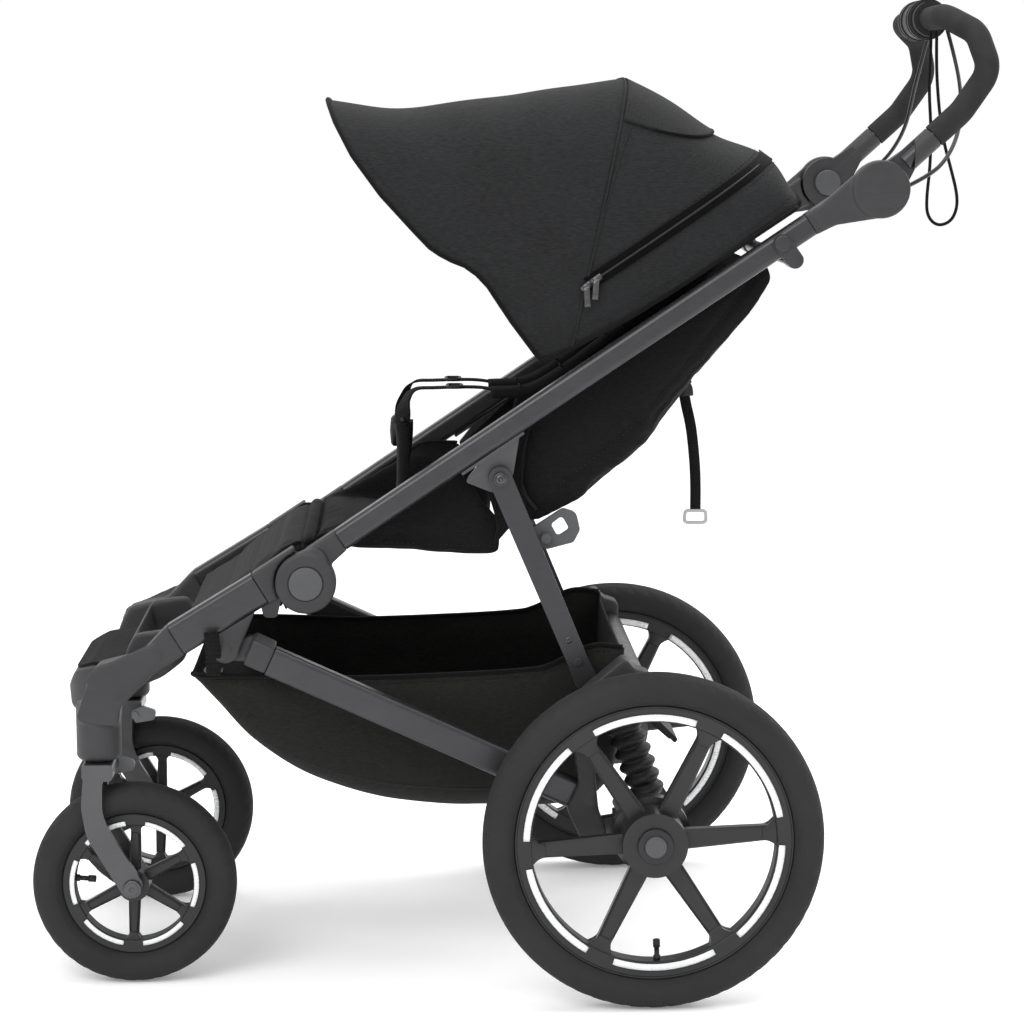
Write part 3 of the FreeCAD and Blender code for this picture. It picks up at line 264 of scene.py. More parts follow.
CANOPY = cloth("canopy_cloth", (0.0105, 0.0107, 0.0112), (0.0235, 0.0242, 0.0254), 0.0016)
LEGS = cloth("leg_cloth", (0.0112, 0.0114, 0.0118), (0.0250, 0.0256, 0.0266), 0.0016)
SEAT = cloth("seat_cloth", (0.0042, 0.0042, 0.0044), (0.0105, 0.0105, 0.0110), 0.0018)
BASKET = cloth("basket_cloth", (0.0085, 0.0085, 0.0081), (0.0195, 0.0195, 0.0184), 0.0020)
LINING = cloth("lining_cloth", (0.0015, 0.0015, 0.0015), (0.0045, 0.0045, 0.0045), 0.003,
               melange=False, gloss=0.05)
WEB = cloth("webbing", (0.0035, 0.0035, 0.0036), (0.0120, 0.0120, 0.0126), 0.0032, 0.0007,
            melange=False)
TAPE = cloth("edge_tape", (0.0025, 0.0025, 0.0025), (0.0080, 0.0080, 0.0080), 0.0018,
             0.0005, melange=False)
THREAD = cloth("thread", (0.014, 0.014, 0.0145), (0.036, 0.036, 0.037), 0.0008, 0.0002,
               melange=False)

NODE_FINISH = {
    PAINT: ["upper_tubes", "front_tubes", "chassis_rails", "rear_struts", "rear_crossbeam",
            "backrest_crossbar", "fold_torque_bar", "handlebar_tube"],
    SATIN: ["strut_brackets", "fork_left", "fork_right", "canopy_bow", "visor_wire",
            "suspension_arm_left", "suspension_arm_right"],
    CAST: ["main_hinges", "handle_hubs", "handle_knuckles", "hinge_knuckles",
           "fork_housings", "rail_elbows", "rear_castings", "rail_clevises", "footrest"],
    GUN: ["front_axle_left", "front_axle_right"],
    BLACK: ["twist_collars", "brake_twist_grip", "harness_buckle", "brake_pedal"],
    FOAM: ["handlebar_grip"],
    TYRE: ["front_tyre_left", "front_tyre_right", "rear_tyre_left", "rear_tyre_right"],
    RIM: ["front_rim_left", "front_rim_right", "rear_rim_left", "rear_rim_right"],
    CAP: ["hinge_caps", "handle_button_left", "handle_button_right", "wheel_button_left",
          "wheel_button_right", "fold_latch"],
    LOCK: ["swivel_lock_left", "swivel_lock_right"],
    CANOPY: ["canopy", "canopy_visor"],
    LEGS: ["leg_panel"],
    BASKET: ["basket"],
    SEAT: ["seat_pan", "backrest"],
    WEB: ["harness_pads", "recline_strap", "wrist_strap"],
    TREAD: ["footrest_tread"],
    BOOT: ["suspension_boots"],
    SHEATH: ["brake_cable_left", "brake_cable_right"],
}


def dress_nodes():
    for material, names in NODE_FINISH.items():
        for name in names:
            for slot in NODES[name].material_slots:
                slot.material = material


# ---- mesh helpers -------------------------------------------------------------------
def smooth_line(points, count):
    """Catmull-Rom line through the points, evenly divided between them."""
    p = [np.array(q, float) for q in points]
    p = [2 * p[0] - p[1]] + p + [2 * p[-1] - p[-2]]
    spans = len(p) - 3
    out = []
    for i in range(count):
        t = i / (count - 1) * spans
        k = min(int(t), spans - 1)
        f = t - k
        a, b, c, d = p[k:k + 4]
        out.append(0.5 * (2 * b + (c - a) * f + (2 * a - 5 * b + 4 * c - d) * f ** 2
                          + (3 * b - a - 3 * c + d) * f ** 3))
    return out


def straight_line(points, count):
    """Points evenly spaced along a polyline."""
    p = [np.array(q, float) for q in points]
    run = np.cumsum([0.0] + [np.linalg.norm(b - a) for a, b in zip(p, p[1:])])
    at = np.linspace(0, run[-1], count)
    return list(np.stack([np.interp(at, run, [q[i] for q in p])
                          for i in range(len(p[0]))], axis=1))


def new_piece(name, verts, faces, material, smooth=True):
    mesh = bpy.data.meshes.new(name)
    mesh.from_pydata([tuple(v) for v in verts], [], faces)
    mesh.materials.append(material)
    work = bmesh.new()
    work.from_mesh(mesh)
    bmesh.ops.recalc_face_normals(work, faces=work.faces)
    work.to_mesh(mesh)
    work.free()
    if smooth:
        mesh.shade_smooth()
    piece = bpy.data.objects.new(name, mesh)
    SCENE.collection.objects.link(piece)
    return piece


def grid_faces(rows, columns, wrap_rows=False, wrap_columns=False):
    faces = []
    for i in range(rows if wrap_rows else rows - 1):
        for j in range(columns if wrap_columns else columns - 1):
            a, b = i % rows, (i + 1) % rows
            c, d = j % columns, (j + 1) % columns
            faces.append((a * columns + c, a * columns + d, b * columns + d,
                          b * columns + c))
    return faces


def applied(piece):
    """The piece with its modifiers made part of its mesh."""
    view = bpy.context.evaluated_depsgraph_get()
    mesh = bpy.data.meshes.new_from_object(piece.evaluated_get(view))
    piece.modifiers.clear()
    piece.data = mesh
    mesh.shade_smooth()
    return piece


def thick(piece, depth, level=0, offset=-1.0):
    solid = piece.modifiers.new("thickness", "SOLIDIFY")
    solid.thickness = depth
    solid.offset = offset
    solid.use_even_offset = False
    if level:
        piece.modifiers.new("round", "SUBSURF").levels = level
        piece.modifiers["round"].render_levels = level
    return applied(piece)


def tube(name, points, radius, material, closed=False, sides=8, flat=1.0, up=None):
    """Closed tube along points; flat < 1 squeezes its section towards up."""
    p = [Vector(q) for q in points]
    n = len(p)
    verts = []
    side = None
    for i in range(n):
        if closed:
            along = p[(i + 1) % n] - p[i - 1]
        else:
            along = p[min(i + 1, n - 1)] - p[max(i - 1, 0)]
        along.normalize()
        if up is not None:
            side = along.cross(Vector(up[i] if isinstance(up, list) else up)).normalized()
        elif side is None:
            side = along.orthogonal().normalized()
        else:
            side = (side - along * side.dot(along)).normalized()
        over = side.cross(along)
        for j in range(sides):
            a = math.tau * j / sides
            verts.append(p[i] + side * radius * math.cos(a)
                         + over * radius * flat * math.sin(a))
    faces = grid_faces(n, sides, closed, True)
    if not closed:
        faces.append(tuple(range(sides)))
        faces.append(tuple(range((n - 1) * sides, n * sides)))
    return new_piece(name, verts, faces, material)


def turned(name, profile, centre, side, material, steps=48, ring=False):
    """Solid of revolution about Y: profile is (radius, distance out along side).
    A ring's profile closes on itself."""
    verts = []
    for i in range(steps):
        a = math.tau * i / steps
        for r, out in profile:
            verts.append((centre[0] + r * math.cos(a), centre[1] + side * out,
                          centre[2] + r * math.sin(a)))
    n = len(profile)
    faces = grid_faces(steps, n, True, ring)
    for end in (0, n - 1):
        if profile[end][0] > 1e-3 and not ring:
            faces.append(tuple(i * n + end for i in range(steps)))
    piece = new_piece(name, verts, faces, material)
    work = bmesh.new()
    work.from_mesh(piece.data)
    bmesh.ops.remove_doubles(work, verts=work.verts, dist=1e-6)
    bmesh.ops.dissolve_degenerate(work, edges=work.edges, dist=1e-7)
    bmesh.ops.recalc_face_normals(work, faces=work.faces)
    work.to_mesh(piece.data)
    work.free()
    return piece


def ribbon(name, points, normals, width, depth, material, lift=0.0, crown=0.0):
    """Flat band along points, its face towards normals, closed and with soft edges."""
    p = [Vector(q) for q in points]
    n = len(p)
    half = width / 2
    section = [(-half, 0.0), (-half, depth * 0.6), (-half * 0.86, depth),
               (0.0, depth + crown), (half * 0.86, depth), (half, depth * 0.6),
               (half, 0.0)]
    verts = []
    for i in range(n):
        along = (p[min(i + 1, n - 1)] - p[max(i - 1, 0)]).normalized()
        up = Vector(normals[i] if isinstance(normals, list) else normals)
        up = (up - along * up.dot(along)).normalized()
        across = along.cross(up)
        for s, h in section:
            verts.append(p[i] + across * s + up * (h + lift))
    m = len(section)
    faces = grid_faces(n, m, False, True)
    faces.append(tuple(range(m)))
    faces.append(tuple(range((n - 1) * m, n * m)))
    return new_piece(name, verts, faces, material)


def joined(name, pieces):
    """One object of several: their meshes and materials together."""
    work = bmesh.new()
    materials = []
    for piece in pieces:
        piece.data.transform(piece.matrix_world)
        for material in piece.data.materials:
            if material not in materials:
                materials.append(material)
        before = len(work.faces)
        own = list(piece.data.materials)
        work.from_mesh(piece.data)
        work.faces.ensure_lookup_table()
        for face in work.faces[before:]:
            face.material_index = materials.index(own[face.material_index])
        bpy.data.objects.remove(piece)
    mesh = bpy.data.meshes.new(name)
    work.to_mesh(mesh)
    work.free()
    for material in materials:
        mesh.materials.append(material)
    mesh.shade_smooth()
    piece = bpy.data.objects.new(name, mesh)
    SCENE.collection.objects.link(piece)
    return piece


def surface_of(piece):
    work = bmesh.new()
    work.from_mesh(piece.data)
    tree = BVHTree.FromBMesh(work)
    work.free()
    return tree


def on_side(tree, points, side):
    """Points (x, z) laid on a surface seen from the left or right side."""
    places, normals = [], []
    for x, z in points:
        hit, normal, _, _ = tree.ray_cast(Vector((x, side * 1.0, z)),
                                          Vector((0.0, -side, 0.0)))
        if hit is not None:
            places.append(hit)
            normals.append(normal if normal.y * side > 0 else -normal)
    return places, normals


def hugging(tree, points, lift=0.0008):
    """Points moved onto a surface, a little proud of it."""
    out = []
    for point in points:
        hit, normal, _, _ = tree.find_nearest(Vector(point))
        out.append(hit + normal * lift)
    return out


def stitches(name, places, normals, material, pitch=0.0062, length=0.0042, radius=0.00045):
    """A row of sewn threads along a line on a surface."""
    line = straight_line(places, max(3, int(route_length(places) / pitch)))
    made = []
    for a, b in zip(line, line[1:]):
        a, b = Vector(a), Vector(b)
        middle = (a + b) / 2
        near = min(range(len(places)), key=lambda i: (Vector(places[i]) - middle).length)
        up = Vector(normals[near]).normalized()
        along = (b - a).normalized()
        half = length / 2
        made.append([middle - along * half - up * radius,
                     middle - along * half * 0.6 + up * radius,
                     middle + along * half * 0.6 + up * radius,
                     middle + along * half - up * radius])
    verts, faces = [], []
    for p in made:
        base = len(verts)
        for i, q in enumerate(p):
            along = (p[min(i + 1, 3)] - p[max(i - 1, 0)]).normalized()
            side = along.orthogonal().normalized()
            over = side.cross(along)
            for j in range(4):
                turn = math.tau * j / 4
                verts.append(q + side * radius * math.cos(turn)
                             + over * radius * math.sin(turn))
        faces += [tuple(base + k for k in f) for f in grid_faces(4, 4, False, True)]
        faces += [tuple(base + k for k in (0, 1, 2, 3)), tuple(base + k for k in range(12, 16))]
    return new_piece(name, verts, faces, material)


def route_length(points):
    return sum((Vector(b) - Vector(a)).length for a, b in zip(points, points[1:]))


def pushed(piece, amount):
    """Each vertex moved along its normal by amount(co, normal)."""
    mesh = piece.data
    normals = [v.normal.copy() for v in mesh.vertices]
    for v, n in zip(mesh.vertices, normals):
        v.co += n * amount(v.co, n)
    mesh.update()
    return piece


# ---- cords --------------------------------------------------------------------------
BRAKE_CABLE_LEFT = [(0.540, -0.0448, 1.148), (0.550, -0.050, 1.112), (0.554, -0.078, 1.068),
                    (0.547, -0.110, 1.024), (0.528, -0.144, 0.991), (0.501, -0.172, 0.968),
                    (0.4655, -0.190, 0.9535)]
BRAKE_CABLE_RIGHT = [(0.538, 0.0448, 1.146), (0.530, 0.052, 1.108), (0.525, 0.076, 1.070),
                     (0.522, 0.108, 1.024), (0.508, 0.148, 0.987), (0.487, 0.174, 0.966),
                     (0.4655, 0.190, 0.9535)]
WRIST_STRAP = [(0.524, -0.070, 1.139), (0.524, -0.070, 1.104), (0.527, -0.072, 1.058),
               (0.533, -0.074, 1.012), (0.545, -0.073, 0.972), (0.553, -0.071, 0.944),
               (0.554, -0.068, 0.925), (0.547, -0.065, 0.909), (0.531, -0.062, 0.904),
               (0.519, -0.060, 0.916), (0.518, -0.058, 0.938), (0.522, -0.057, 0.976),
               (0.522, -0.058, 1.022), (0.518, -0.059, 1.070), (0.519, -0.060, 1.108),
               (0.519, -0.060, 1.139)]


def make_cord(name, route, diameter, material, node):
    data = bpy.data.curves.new(name, "CURVE")
    data.dimensions = "3D"
    data.bevel_depth = diameter / 2
    data.bevel_resolution = 4
    data.use_fill_caps = True
    spline = data.splines.new("NURBS")
    spline.points.add(len(route) - 1)
    for point, place in zip(spline.points, route):
        point.co = (*place, 1.0)
    spline.order_u = 3
    spline.use_endpoint_u = True
    spline.resolution_u = 12
    data.materials.append(material)
    cord = bpy.data.objects.new(name, data)
    SCENE.collection.objects.link(cord)
    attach(cord, "handlebar")
    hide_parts(node)


make_camera()
make_studio()
dress_nodes()
make_cord("cable_left", BRAKE_CABLE_LEFT, 0.005, SHEATH,
          "brake_cable_left")
make_cord("cable_right", BRAKE_CABLE_RIGHT, 0.005, SHEATH,
          "brake_cable_right")
make_cord("wrist_loop", WRIST_STRAP, 0.004, WEB, "wrist_strap")


# ---- canopy -------------------------------------------------------------------------
CANOPY_POWER = 0.56


def canopy_point(base, top, half, turn, bow=0.0):
    c = math.cos(turn)
    s = max(math.sin(turn), 0.0)
    rise = s ** CANOPY_POWER
    y = -half * math.copysign(abs(c) ** CANOPY_POWER, c)
    x = base[0] + (top[0] - base[0]) * rise
    z = base[1] + (top[1] - base[1]) * rise
    return Vector((x, y, z)), rise


def canopy_sheet(name, keys, count, columns=97, brow=None):
    """Cloth over hoops: keys are (base, top, half width) of slanted arches."""
    line = smooth_line([(b[0], b[1], t[0], t[1], h) for b, t, h in keys], count)
    verts = []
    for i, (bx, bz, tx, tz, half) in enumerate(line):
        u = i / (count - 1)
        for j in range(columns):
            turn = math.pi * j / (columns - 1)
            place, rise = canopy_point((bx, bz), (tx, tz), half, turn)
            if brow is not None:
                out = np.interp(rise, [k[0] for k in brow], [k[1] for k in brow])
                fade = max(0.0, 1.0 - u * 2.2) ** 1.5
                place += Vector((-0.772, 0.0, -0.635)) * out * fade
            middle = math.sin(math.pi * u)
            flank = math.sin(turn) ** 0.5 if 0 < turn < math.pi else 0.0
            drag = noise.noise(Vector((place.x * 9, place.y * 3, place.z * 4))) * 0.0035
            pull = math.sin(place.x * 55 + place.z * 34 + 3.0 * noise.noise(place * 5))
            place.z -= middle * flank * 0.004 * abs(math.sin(turn))
            place += Vector((0.3, 0.2 * math.copysign(1, place.y), 1.0)) * (
                drag + 0.0011 * pull * flank) * middle
            verts.append(place)
    piece = new_piece(name, verts, grid_faces(count, columns), CANOPY)
    return piece


def edge_of(piece_line, radius, name, material=None):
    return tube(name, piece_line, radius, material or TAPE, sides=8)


def line_on_canopy(keys, u, inset=0.0, columns=97, brow=None):
    """The cloth's own line across it at the share u of its length."""
    flat = smooth_line([(b[0], b[1], t[0], t[1], h) for b, t, h in keys], 401)[int(u * 400)]
    bx, bz, tx, tz, half = flat
    out = []
    for j in range(columns):
        place, rise = canopy_point((bx, bz), (tx, tz), half + inset,
                                   math.pi * j / (columns - 1))
        if brow is not None:
            shift = np.interp(rise, [k[0] for k in brow], [k[1] for k in brow])
            place += Vector((-0.772, 0.0, -0.635)) * shift
        out.append(place)
    return out


BROW = [(0.0, 0.0), (0.16, -0.003), (0.27, -0.008), (0.345, -0.006), (0.40, 0.006),
        (0.457, 0.0155), (0.54, 0.018), (0.68, 0.021), (0.82, 0.018), (0.93, 0.009),
        (1.0, 0.0)]
SEAM_KEY = ((0.0740, 0.767), (0.1455, 1.0835), 0.2045)
VISOR_KEYS = [((0.0386, 0.751), (-0.2140, 1.0578), 0.202),
              ((0.0450, 0.754), (-0.1368, 1.0520), 0.203),
              ((0.0550, 0.758), (-0.0319, 1.0620), 0.204), SEAM_KEY]
REAR_KEYS = [SEAM_KEY, ((0.140, 0.802), (0.2060, 1.0530), 0.205),
             ((0.204, 0.841), (0.2580, 1.0215), 0.206),
             ((0.276, 0.889), (0.3200, 0.9915), 0.204),
             ((0.339, 0.931), (0.3445, 0.9455), 0.198)]


def rear_blend(piece):
    """Fabric behind the bow: bakes its transform into its mesh."""
    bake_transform(piece)


def visor_blend(piece):
    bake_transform(piece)


def make_canopy():
    rear = canopy_sheet("canopy_rear", REAR_KEYS, 60)
    visor = canopy_sheet("canopy_front_sheet", VISOR_KEYS, 60, brow=BROW)
    rear_tree, visor_tree = surface_of(rear), surface_of(visor)
    trims_rear, trims_visor = [], []

    seam = line_on_canopy(REAR_KEYS, 0.0, 0.0006)
    trims_rear.append(tube("bow_seam", seam, 0.0014, CANOPY))
    rear_end = line_on_canopy(REAR_KEYS, 1.0, 0.0)
    trims_rear.append(tube("rear_binding", rear_end, 0.0028, TAPE))
    front = line_on_canopy(VISOR_KEYS, 0.0, 0.0, brow=BROW)
    trims_visor.append(tube("brow_binding", front, 0.0030, TAPE))
    for side in (NEAR, FAR):
        low = [(k[0][0], k[0][1]) for k in REAR_KEYS]
        low = smooth_line(low, 60)
        line = [Vector((x, side * 0.2045, z + 0.0005)) for x, z in low]
        line[-1].y = side * 0.199
        trims_rear.append(tube("lower_binding", line, 0.0028, TAPE))
        low = smooth_line([(k[0][0], k[0][1]) for k in VISOR_KEYS], 20)
        line = [Vector((x, side * 0.2035, z + 0.0005)) for x, z in low]
        trims_visor.append(tube("visor_binding", line, 0.0028, TAPE))

        zip_line = straight_line([(0.092, 0.8415), (0.150, 0.880), (0.230, 0.934),
                                  (0.300, 0.9815), (0.322, 0.9945)], 80)
        places, normals = on_side(rear_tree, zip_line, side)
        trims_rear.append(ribbon("zip_tape", places, normals, 0.0175, 0.0014, LINING, 0.0006))
        teeth = straight_line(places, 110)
        trims_rear.append(tube("zip_coil", [Vector(p) + Vector((0, side * 0.0016, 0))
                                            for p in teeth], 0.0015, BLACK, sides=6))
        for offset in (0.0115, -0.0115):
            row = [(x - offset * 0.55, z + offset * 0.82) for x, z in zip_line]
            at, up = on_side(rear_tree, row, side)
            trims_rear.append(stitches("zip_stitch", at, up, THREAD))
        for index, (x, z) in enumerate(((0.0905, 0.8395), (0.102, 0.848))):
            at, up = on_side(rear_tree, [(x, z)], side)
            slider = at[0] + up[0] * 0.003
            trims_rear.append(zip_pull("zip_pull", slider, side, 3 - index * 7))

        stitch_row = [(0.030 + t * 0.26, 0.770 + t * 0.168) for t in np.linspace(0.12, 1, 50)]
        hem = smooth_line([(0.085, 0.789), (0.140, 0.8165), (0.204, 0.8545),
                           (0.276, 0.9015), (0.334, 0.944)], 60)
        at, up = on_side(rear_tree, hem, side)
        if len(at) > 4:
            trims_rear.append(stitches("hem_stitch", at, up, THREAD))
        panel = smooth_line([(0.150, 1.040), (0.130, 0.985), (0.112, 0.925), (0.098, 0.870)],
                            50)
        at, up = on_side(rear_tree, panel, side)
        if len(at) > 4:
            trims_rear.append(tube("panel_seam", [p + n * 0.0003 for p, n in zip(at, up)],
                                   0.0012, CANOPY, sides=6))
        brow_row = line_on_canopy(VISOR_KEYS, 0.0, 0.0, brow=BROW)
        edge = [(p.x + 0.009, p.z + 0.007) for p in brow_row
                if p.y * side > 0.17 and 0.78 < p.z < 1.035]
        at, up = on_side(visor_tree, sorted(edge, key=lambda q: q[1]), side)
        if len(at) > 4:
            trims_visor.append(stitches("brow_stitch", at, up, THREAD))

    flap = peek_flap(rear_tree)
    trims_rear += flap
    rear = thick(rear, 0.0026)
    visor = thick(visor, 0.0026)
    for piece in (rear, visor):
        piece.data.materials.append(LINING)
    rear_trim = joined("canopy_rear_trim", trims_rear)
    visor_trim = joined("canopy_front_trim", trims_visor)
    for piece in (rear, rear_trim):
        rear_blend(piece)
    for piece in (visor, visor_trim):
        visor_blend(piece)
    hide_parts("canopy")
    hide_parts("canopy_visor")


def zip_pull(name, place, side, lean):
    """Slider body with its hanging pull tab."""
    body = tube(name + "_slider", [place + Vector((-0.006, 0, -0.004)), place,
                                   place + Vector((0.006, 0, 0.004))], 0.0042, GUN,
                sides=10, flat=0.6, up=Vector((0, side, 0)))
    lean = math.radians(lean)
    down = Vector((math.sin(lean), side * 0.06, -math.cos(lean)))
    tab = ribbon(name + "_tab", [place + Vector((0, side * 0.003, 0)) + down * t
                                 for t in (0.0, 0.005, 0.012, 0.02, 0.024)],
                 Vector((0, side, 0)), 0.0072, 0.0016, GUN)
    return joined(name, [body, tab])


def peek_flap(tree):
    """Cover of the peek window: sewn in at the bow, its rounded free edge behind."""
    rows, columns = 30, 61
    edge_turn = 0.815
    line = smooth_line([(b[0], b[1], t[0], t[1], h) for b, t, h in REAR_KEYS], 401)
    verts = []
    for i in range(rows):
        for j in range(columns):
            s = j / (columns - 1) * 2 - 1
            reach = 0.47 * max(1 - abs(s) ** 3, 0.02) ** 0.3
            bx, bz, tx, tz, half = line[int(400 * (0.012 + reach * i / (rows - 1)))]
            turn = math.pi / 2 + s * (math.pi / 2 - edge_turn)
            place, _ = canopy_point((bx, bz), (tx, tz), half, turn)
            hit, normal, _, _ = tree.find_nearest(place)
            if normal.dot(hit - Vector((hit.x, 0.0, 0.85))) < 0:
                normal = -normal
            verts.append(hit + normal * (0.0014 + 0.0018 * i / (rows - 1)))
    flap = new_piece("peek_flap", verts, grid_faces(rows, columns), CANOPY)
    flap = thick(flap, 0.0016, offset=0.0)
    border = [verts[(rows - 1) * columns + j] for j in range(columns)]
    return [flap, tube("peek_binding", border, 0.0015, TAPE, sides=6)]


make_canopy()


# ---- padded seat --------------------------------------------------------------------
def inflated(name, node, material, cap, voxel=0.0055, inset=0.0015, pressure=4.0,
             iterations=20):
    """The node's shape as stuffed cloth: remeshed, blown up a little, then capped."""
    piece = bpy.data.objects.new(name, NODES[node].data.copy())
    SCENE.collection.objects.link(piece)
    for slot in piece.material_slots:
        slot.material = material
    remesh = piece.modifiers.new("voxels", "REMESH")
    remesh.mode = "VOXEL"
    remesh.voxel_size = voxel
    applied(piece)
    pushed(piece, lambda co, n: -inset)
    rest = np.array([v.co for v in piece.data.vertices])
    sim = piece.modifiers.new("cloth", "CLOTH")
    sim.settings.quality = 5
    sim.settings.use_pressure = True
    sim.settings.uniform_pressure_force = pressure
    sim.settings.effector_weights.gravity = 0.0
    sim.settings.tension_stiffness = 18
    sim.settings.compression_stiffness = 18
    sim.settings.shear_stiffness = 8
    sim.settings.bending_stiffness = 1.0
    for step in range(1, iterations + 1):
        SCENE.frame_set(step)
    view = bpy.context.evaluated_depsgraph_get()
    swollen = piece.evaluated_get(view)
    moved = np.array([v.co for v in swollen.data.vertices]) - rest
    piece.modifiers.clear()
    far = np.linalg.norm(moved, axis=1)
    share = np.where(far > cap, cap / np.maximum(far, 1e-9), 1.0)
    placed = rest + moved * share[:, None]
    piece.data.vertices.foreach_set("co", placed.astype(np.float32).ravel())
    piece.data.update()
    SCENE.frame_set(1)
    piece.modifiers.new("round", "SUBSURF").levels = 1
    piece.modifiers["round"].render_levels = 1
    applied(piece)
    piece.data.materials.clear()
    piece.data.materials.append(material)
    return piece


def channel(piece, lines, depth=0.003, width=0.006):
    """Sewn channels: the cloth drawn in along lines of (x, y, z) points."""
    samples = np.array([q for line in lines for q in straight_line(line, 90)])

    def amount(co, normal):
        near = np.min(np.linalg.norm(samples - np.array(co), axis=1))
        return -depth * math.exp(-(near / width) ** 2)

    return pushed(piece, amount)


def bolster(name, centre, radii, lean, half, material):
    """Stuffed roll across the seat: an oval section drawn in at both ends."""
    rows, sides = 40, 24
    lean = math.radians(lean)
    verts = []
    for i in range(rows):
        t = -math.cos(math.pi * i / (rows - 1))
        swell = max(1 - abs(t) ** 10, 0.0) ** 0.35
        for j in range(sides):
            a = math.tau * j / sides
            u, w = radii[0] * swell * math.cos(a), radii[1] * swell * math.sin(a)
            x = centre[0] + u * math.cos(lean) - w * math.sin(lean)
            z = centre[1] + u * math.sin(lean) + w * math.cos(lean)
            pucker = 0.0009 * noise.noise(Vector((x * 30, t * 9, z * 30)))
            verts.append((x + pucker, half * t, z + pucker))
    piece = new_piece(name, verts, grid_faces(rows, sides, False, True), material)
    work = bmesh.new()
    work.from_mesh(piece.data)
    bmesh.ops.remove_doubles(work, verts=work.verts, dist=1e-5)
    work.to_mesh(piece.data)
    work.free()
    return piece


def side_gusset(side):
    """Loose cloth that closes the side between the seat pan and the backrest."""
    front = smooth_line([(-0.016, 0.530), (-0.014, 0.556), (-0.024, 0.590), (-0.040, 0.618)], 24)
    rear = smooth_line([(0.024, 0.572), (0.016, 0.605), (0.020, 0.650), (0.038, 0.694)], 24)
    columns = 14
    verts = []
    for i, (a, b) in enumerate(zip(front, rear)):
        for j in range(columns):
            t = j / (columns - 1)
            x, z = a * (1 - t) + b * t
            slack = 0.0035 * math.sin(math.pi * t) * (1 + 0.5 * math.sin(i * 0.8 + 2.5 * t))
            verts.append((x, side * (0.1735 - slack), z))
    return thick(new_piece("gusset", verts, grid_faces(24, columns), SEAT), 0.0022, offset=0.0)


def make_seat():
    pan = inflated("seat_cushion", "seat_pan", SEAT, 0.006)
    lines = []
    for side in (NEAR, FAR):
        lines.append([(-0.195, side * 0.172, 0.5345), (-0.060, side * 0.172, 0.5270),
                      (-0.010, side * 0.172, 0.5265)])
        lines.append([(-0.200, side * 0.150, 0.541), (-0.010, side * 0.150, 0.533)])
    for x in (-0.19, -0.125, -0.06):
        z = 0.541 - (x + 0.203) * 0.063
        lines.append([(x, -0.15, z), (x, 0.15, z)])
    channel(pan, lines, 0.0025)
    tree = surface_of(pan)
    pan = joined("seat_cushion", [pan, bolster("seat_nose", (-0.2385, 0.5345), (0.0085, 0.0080),
                                               0.0, 0.170, SEAT)])
    trims = []
    for side in (NEAR, FAR):
        row = straight_line([(-0.195, 0.5345), (-0.060, 0.5270), (-0.012, 0.5265)], 60)
        at, up = on_side(tree, row, side)
        trims.append(stitches("pan_stitch", at, up, THREAD))
        top = smooth_line([(-0.231, 0.541), (-0.199, 0.553), (-0.139, 0.594),
                           (-0.102, 0.616), (-0.052, 0.616)], 70)
        line = hugging(tree, [(x, side * 0.167, z) for x, z in top])
        trims.append(tube("pan_piping", line, 0.0026, TAPE))
    trim = joined("seat_trim", trims)
    for piece in (pan, trim):
        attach(piece, "upper_frame")
    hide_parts("seat_pan")


def make_backrest():
    back = inflated("backrest_pad", "backrest", SEAT, 0.006)
    lines = []
    for side in (NEAR, FAR):
        y = side * 0.172
        lines.append([(0.030, y, 0.672), (0.014, y, 0.640), (0.016, y, 0.600),
                      (0.034, y, 0.575)])
        lines.append([(0.060, y, 0.600), (0.150, y, 0.672), (0.215, y, 0.748),
                      (0.290, y, 0.845)])
        lines.append([(0.045, side * 0.146, 0.600), (0.150, side * 0.146, 0.676),
                      (0.250, side * 0.146, 0.800), (0.300, side * 0.146, 0.862)])
    for x, z in ((0.085, 0.617), (0.150, 0.676), (0.212, 0.752)):
        lines.append([(x, -0.145, z), (x, 0.145, z)])
        lines.append([(x + 0.012, -0.145, z - 0.026), (x + 0.012, 0.145, z - 0.026)])
    channel(back, lines)
    tree = surface_of(back)
    back = joined("backrest_pad", [back] + [side_gusset(side) for side in (NEAR, FAR)])
    trims = []
    for side in (NEAR, FAR):
        curve = smooth_line([(0.0335, 0.688), (0.020, 0.655), (0.0145, 0.620),
                             (0.020, 0.590), (0.034, 0.5705)], 40)
        at, up = on_side(tree, curve, side)
        if len(at) > 3:
            trims.append(tube("side_piping", [p + n * 0.0008 for p, n in zip(at, up)],
                              0.0024, LEGS))
        rows = smooth_line([(0.060, 0.600), (0.150, 0.672), (0.215, 0.748),
                            (0.290, 0.845)], 60)
        at, up = on_side(tree, rows, side)
        if len(at) > 3:
            trims.append(stitches("back_stitch", at, up, THREAD))
        top = straight_line([(0.026, 0.6925), (0.150, 0.7775), (0.298, 0.8775)], 60)
        line = hugging(tree, [(x, side * 0.167, z) for x, z in top])
        trims.append(tube("back_piping", line, 0.0026, TAPE))
    trim = joined("backrest_trim", trims)
    for piece in (back, trim):
        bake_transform(piece)
    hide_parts("backrest")


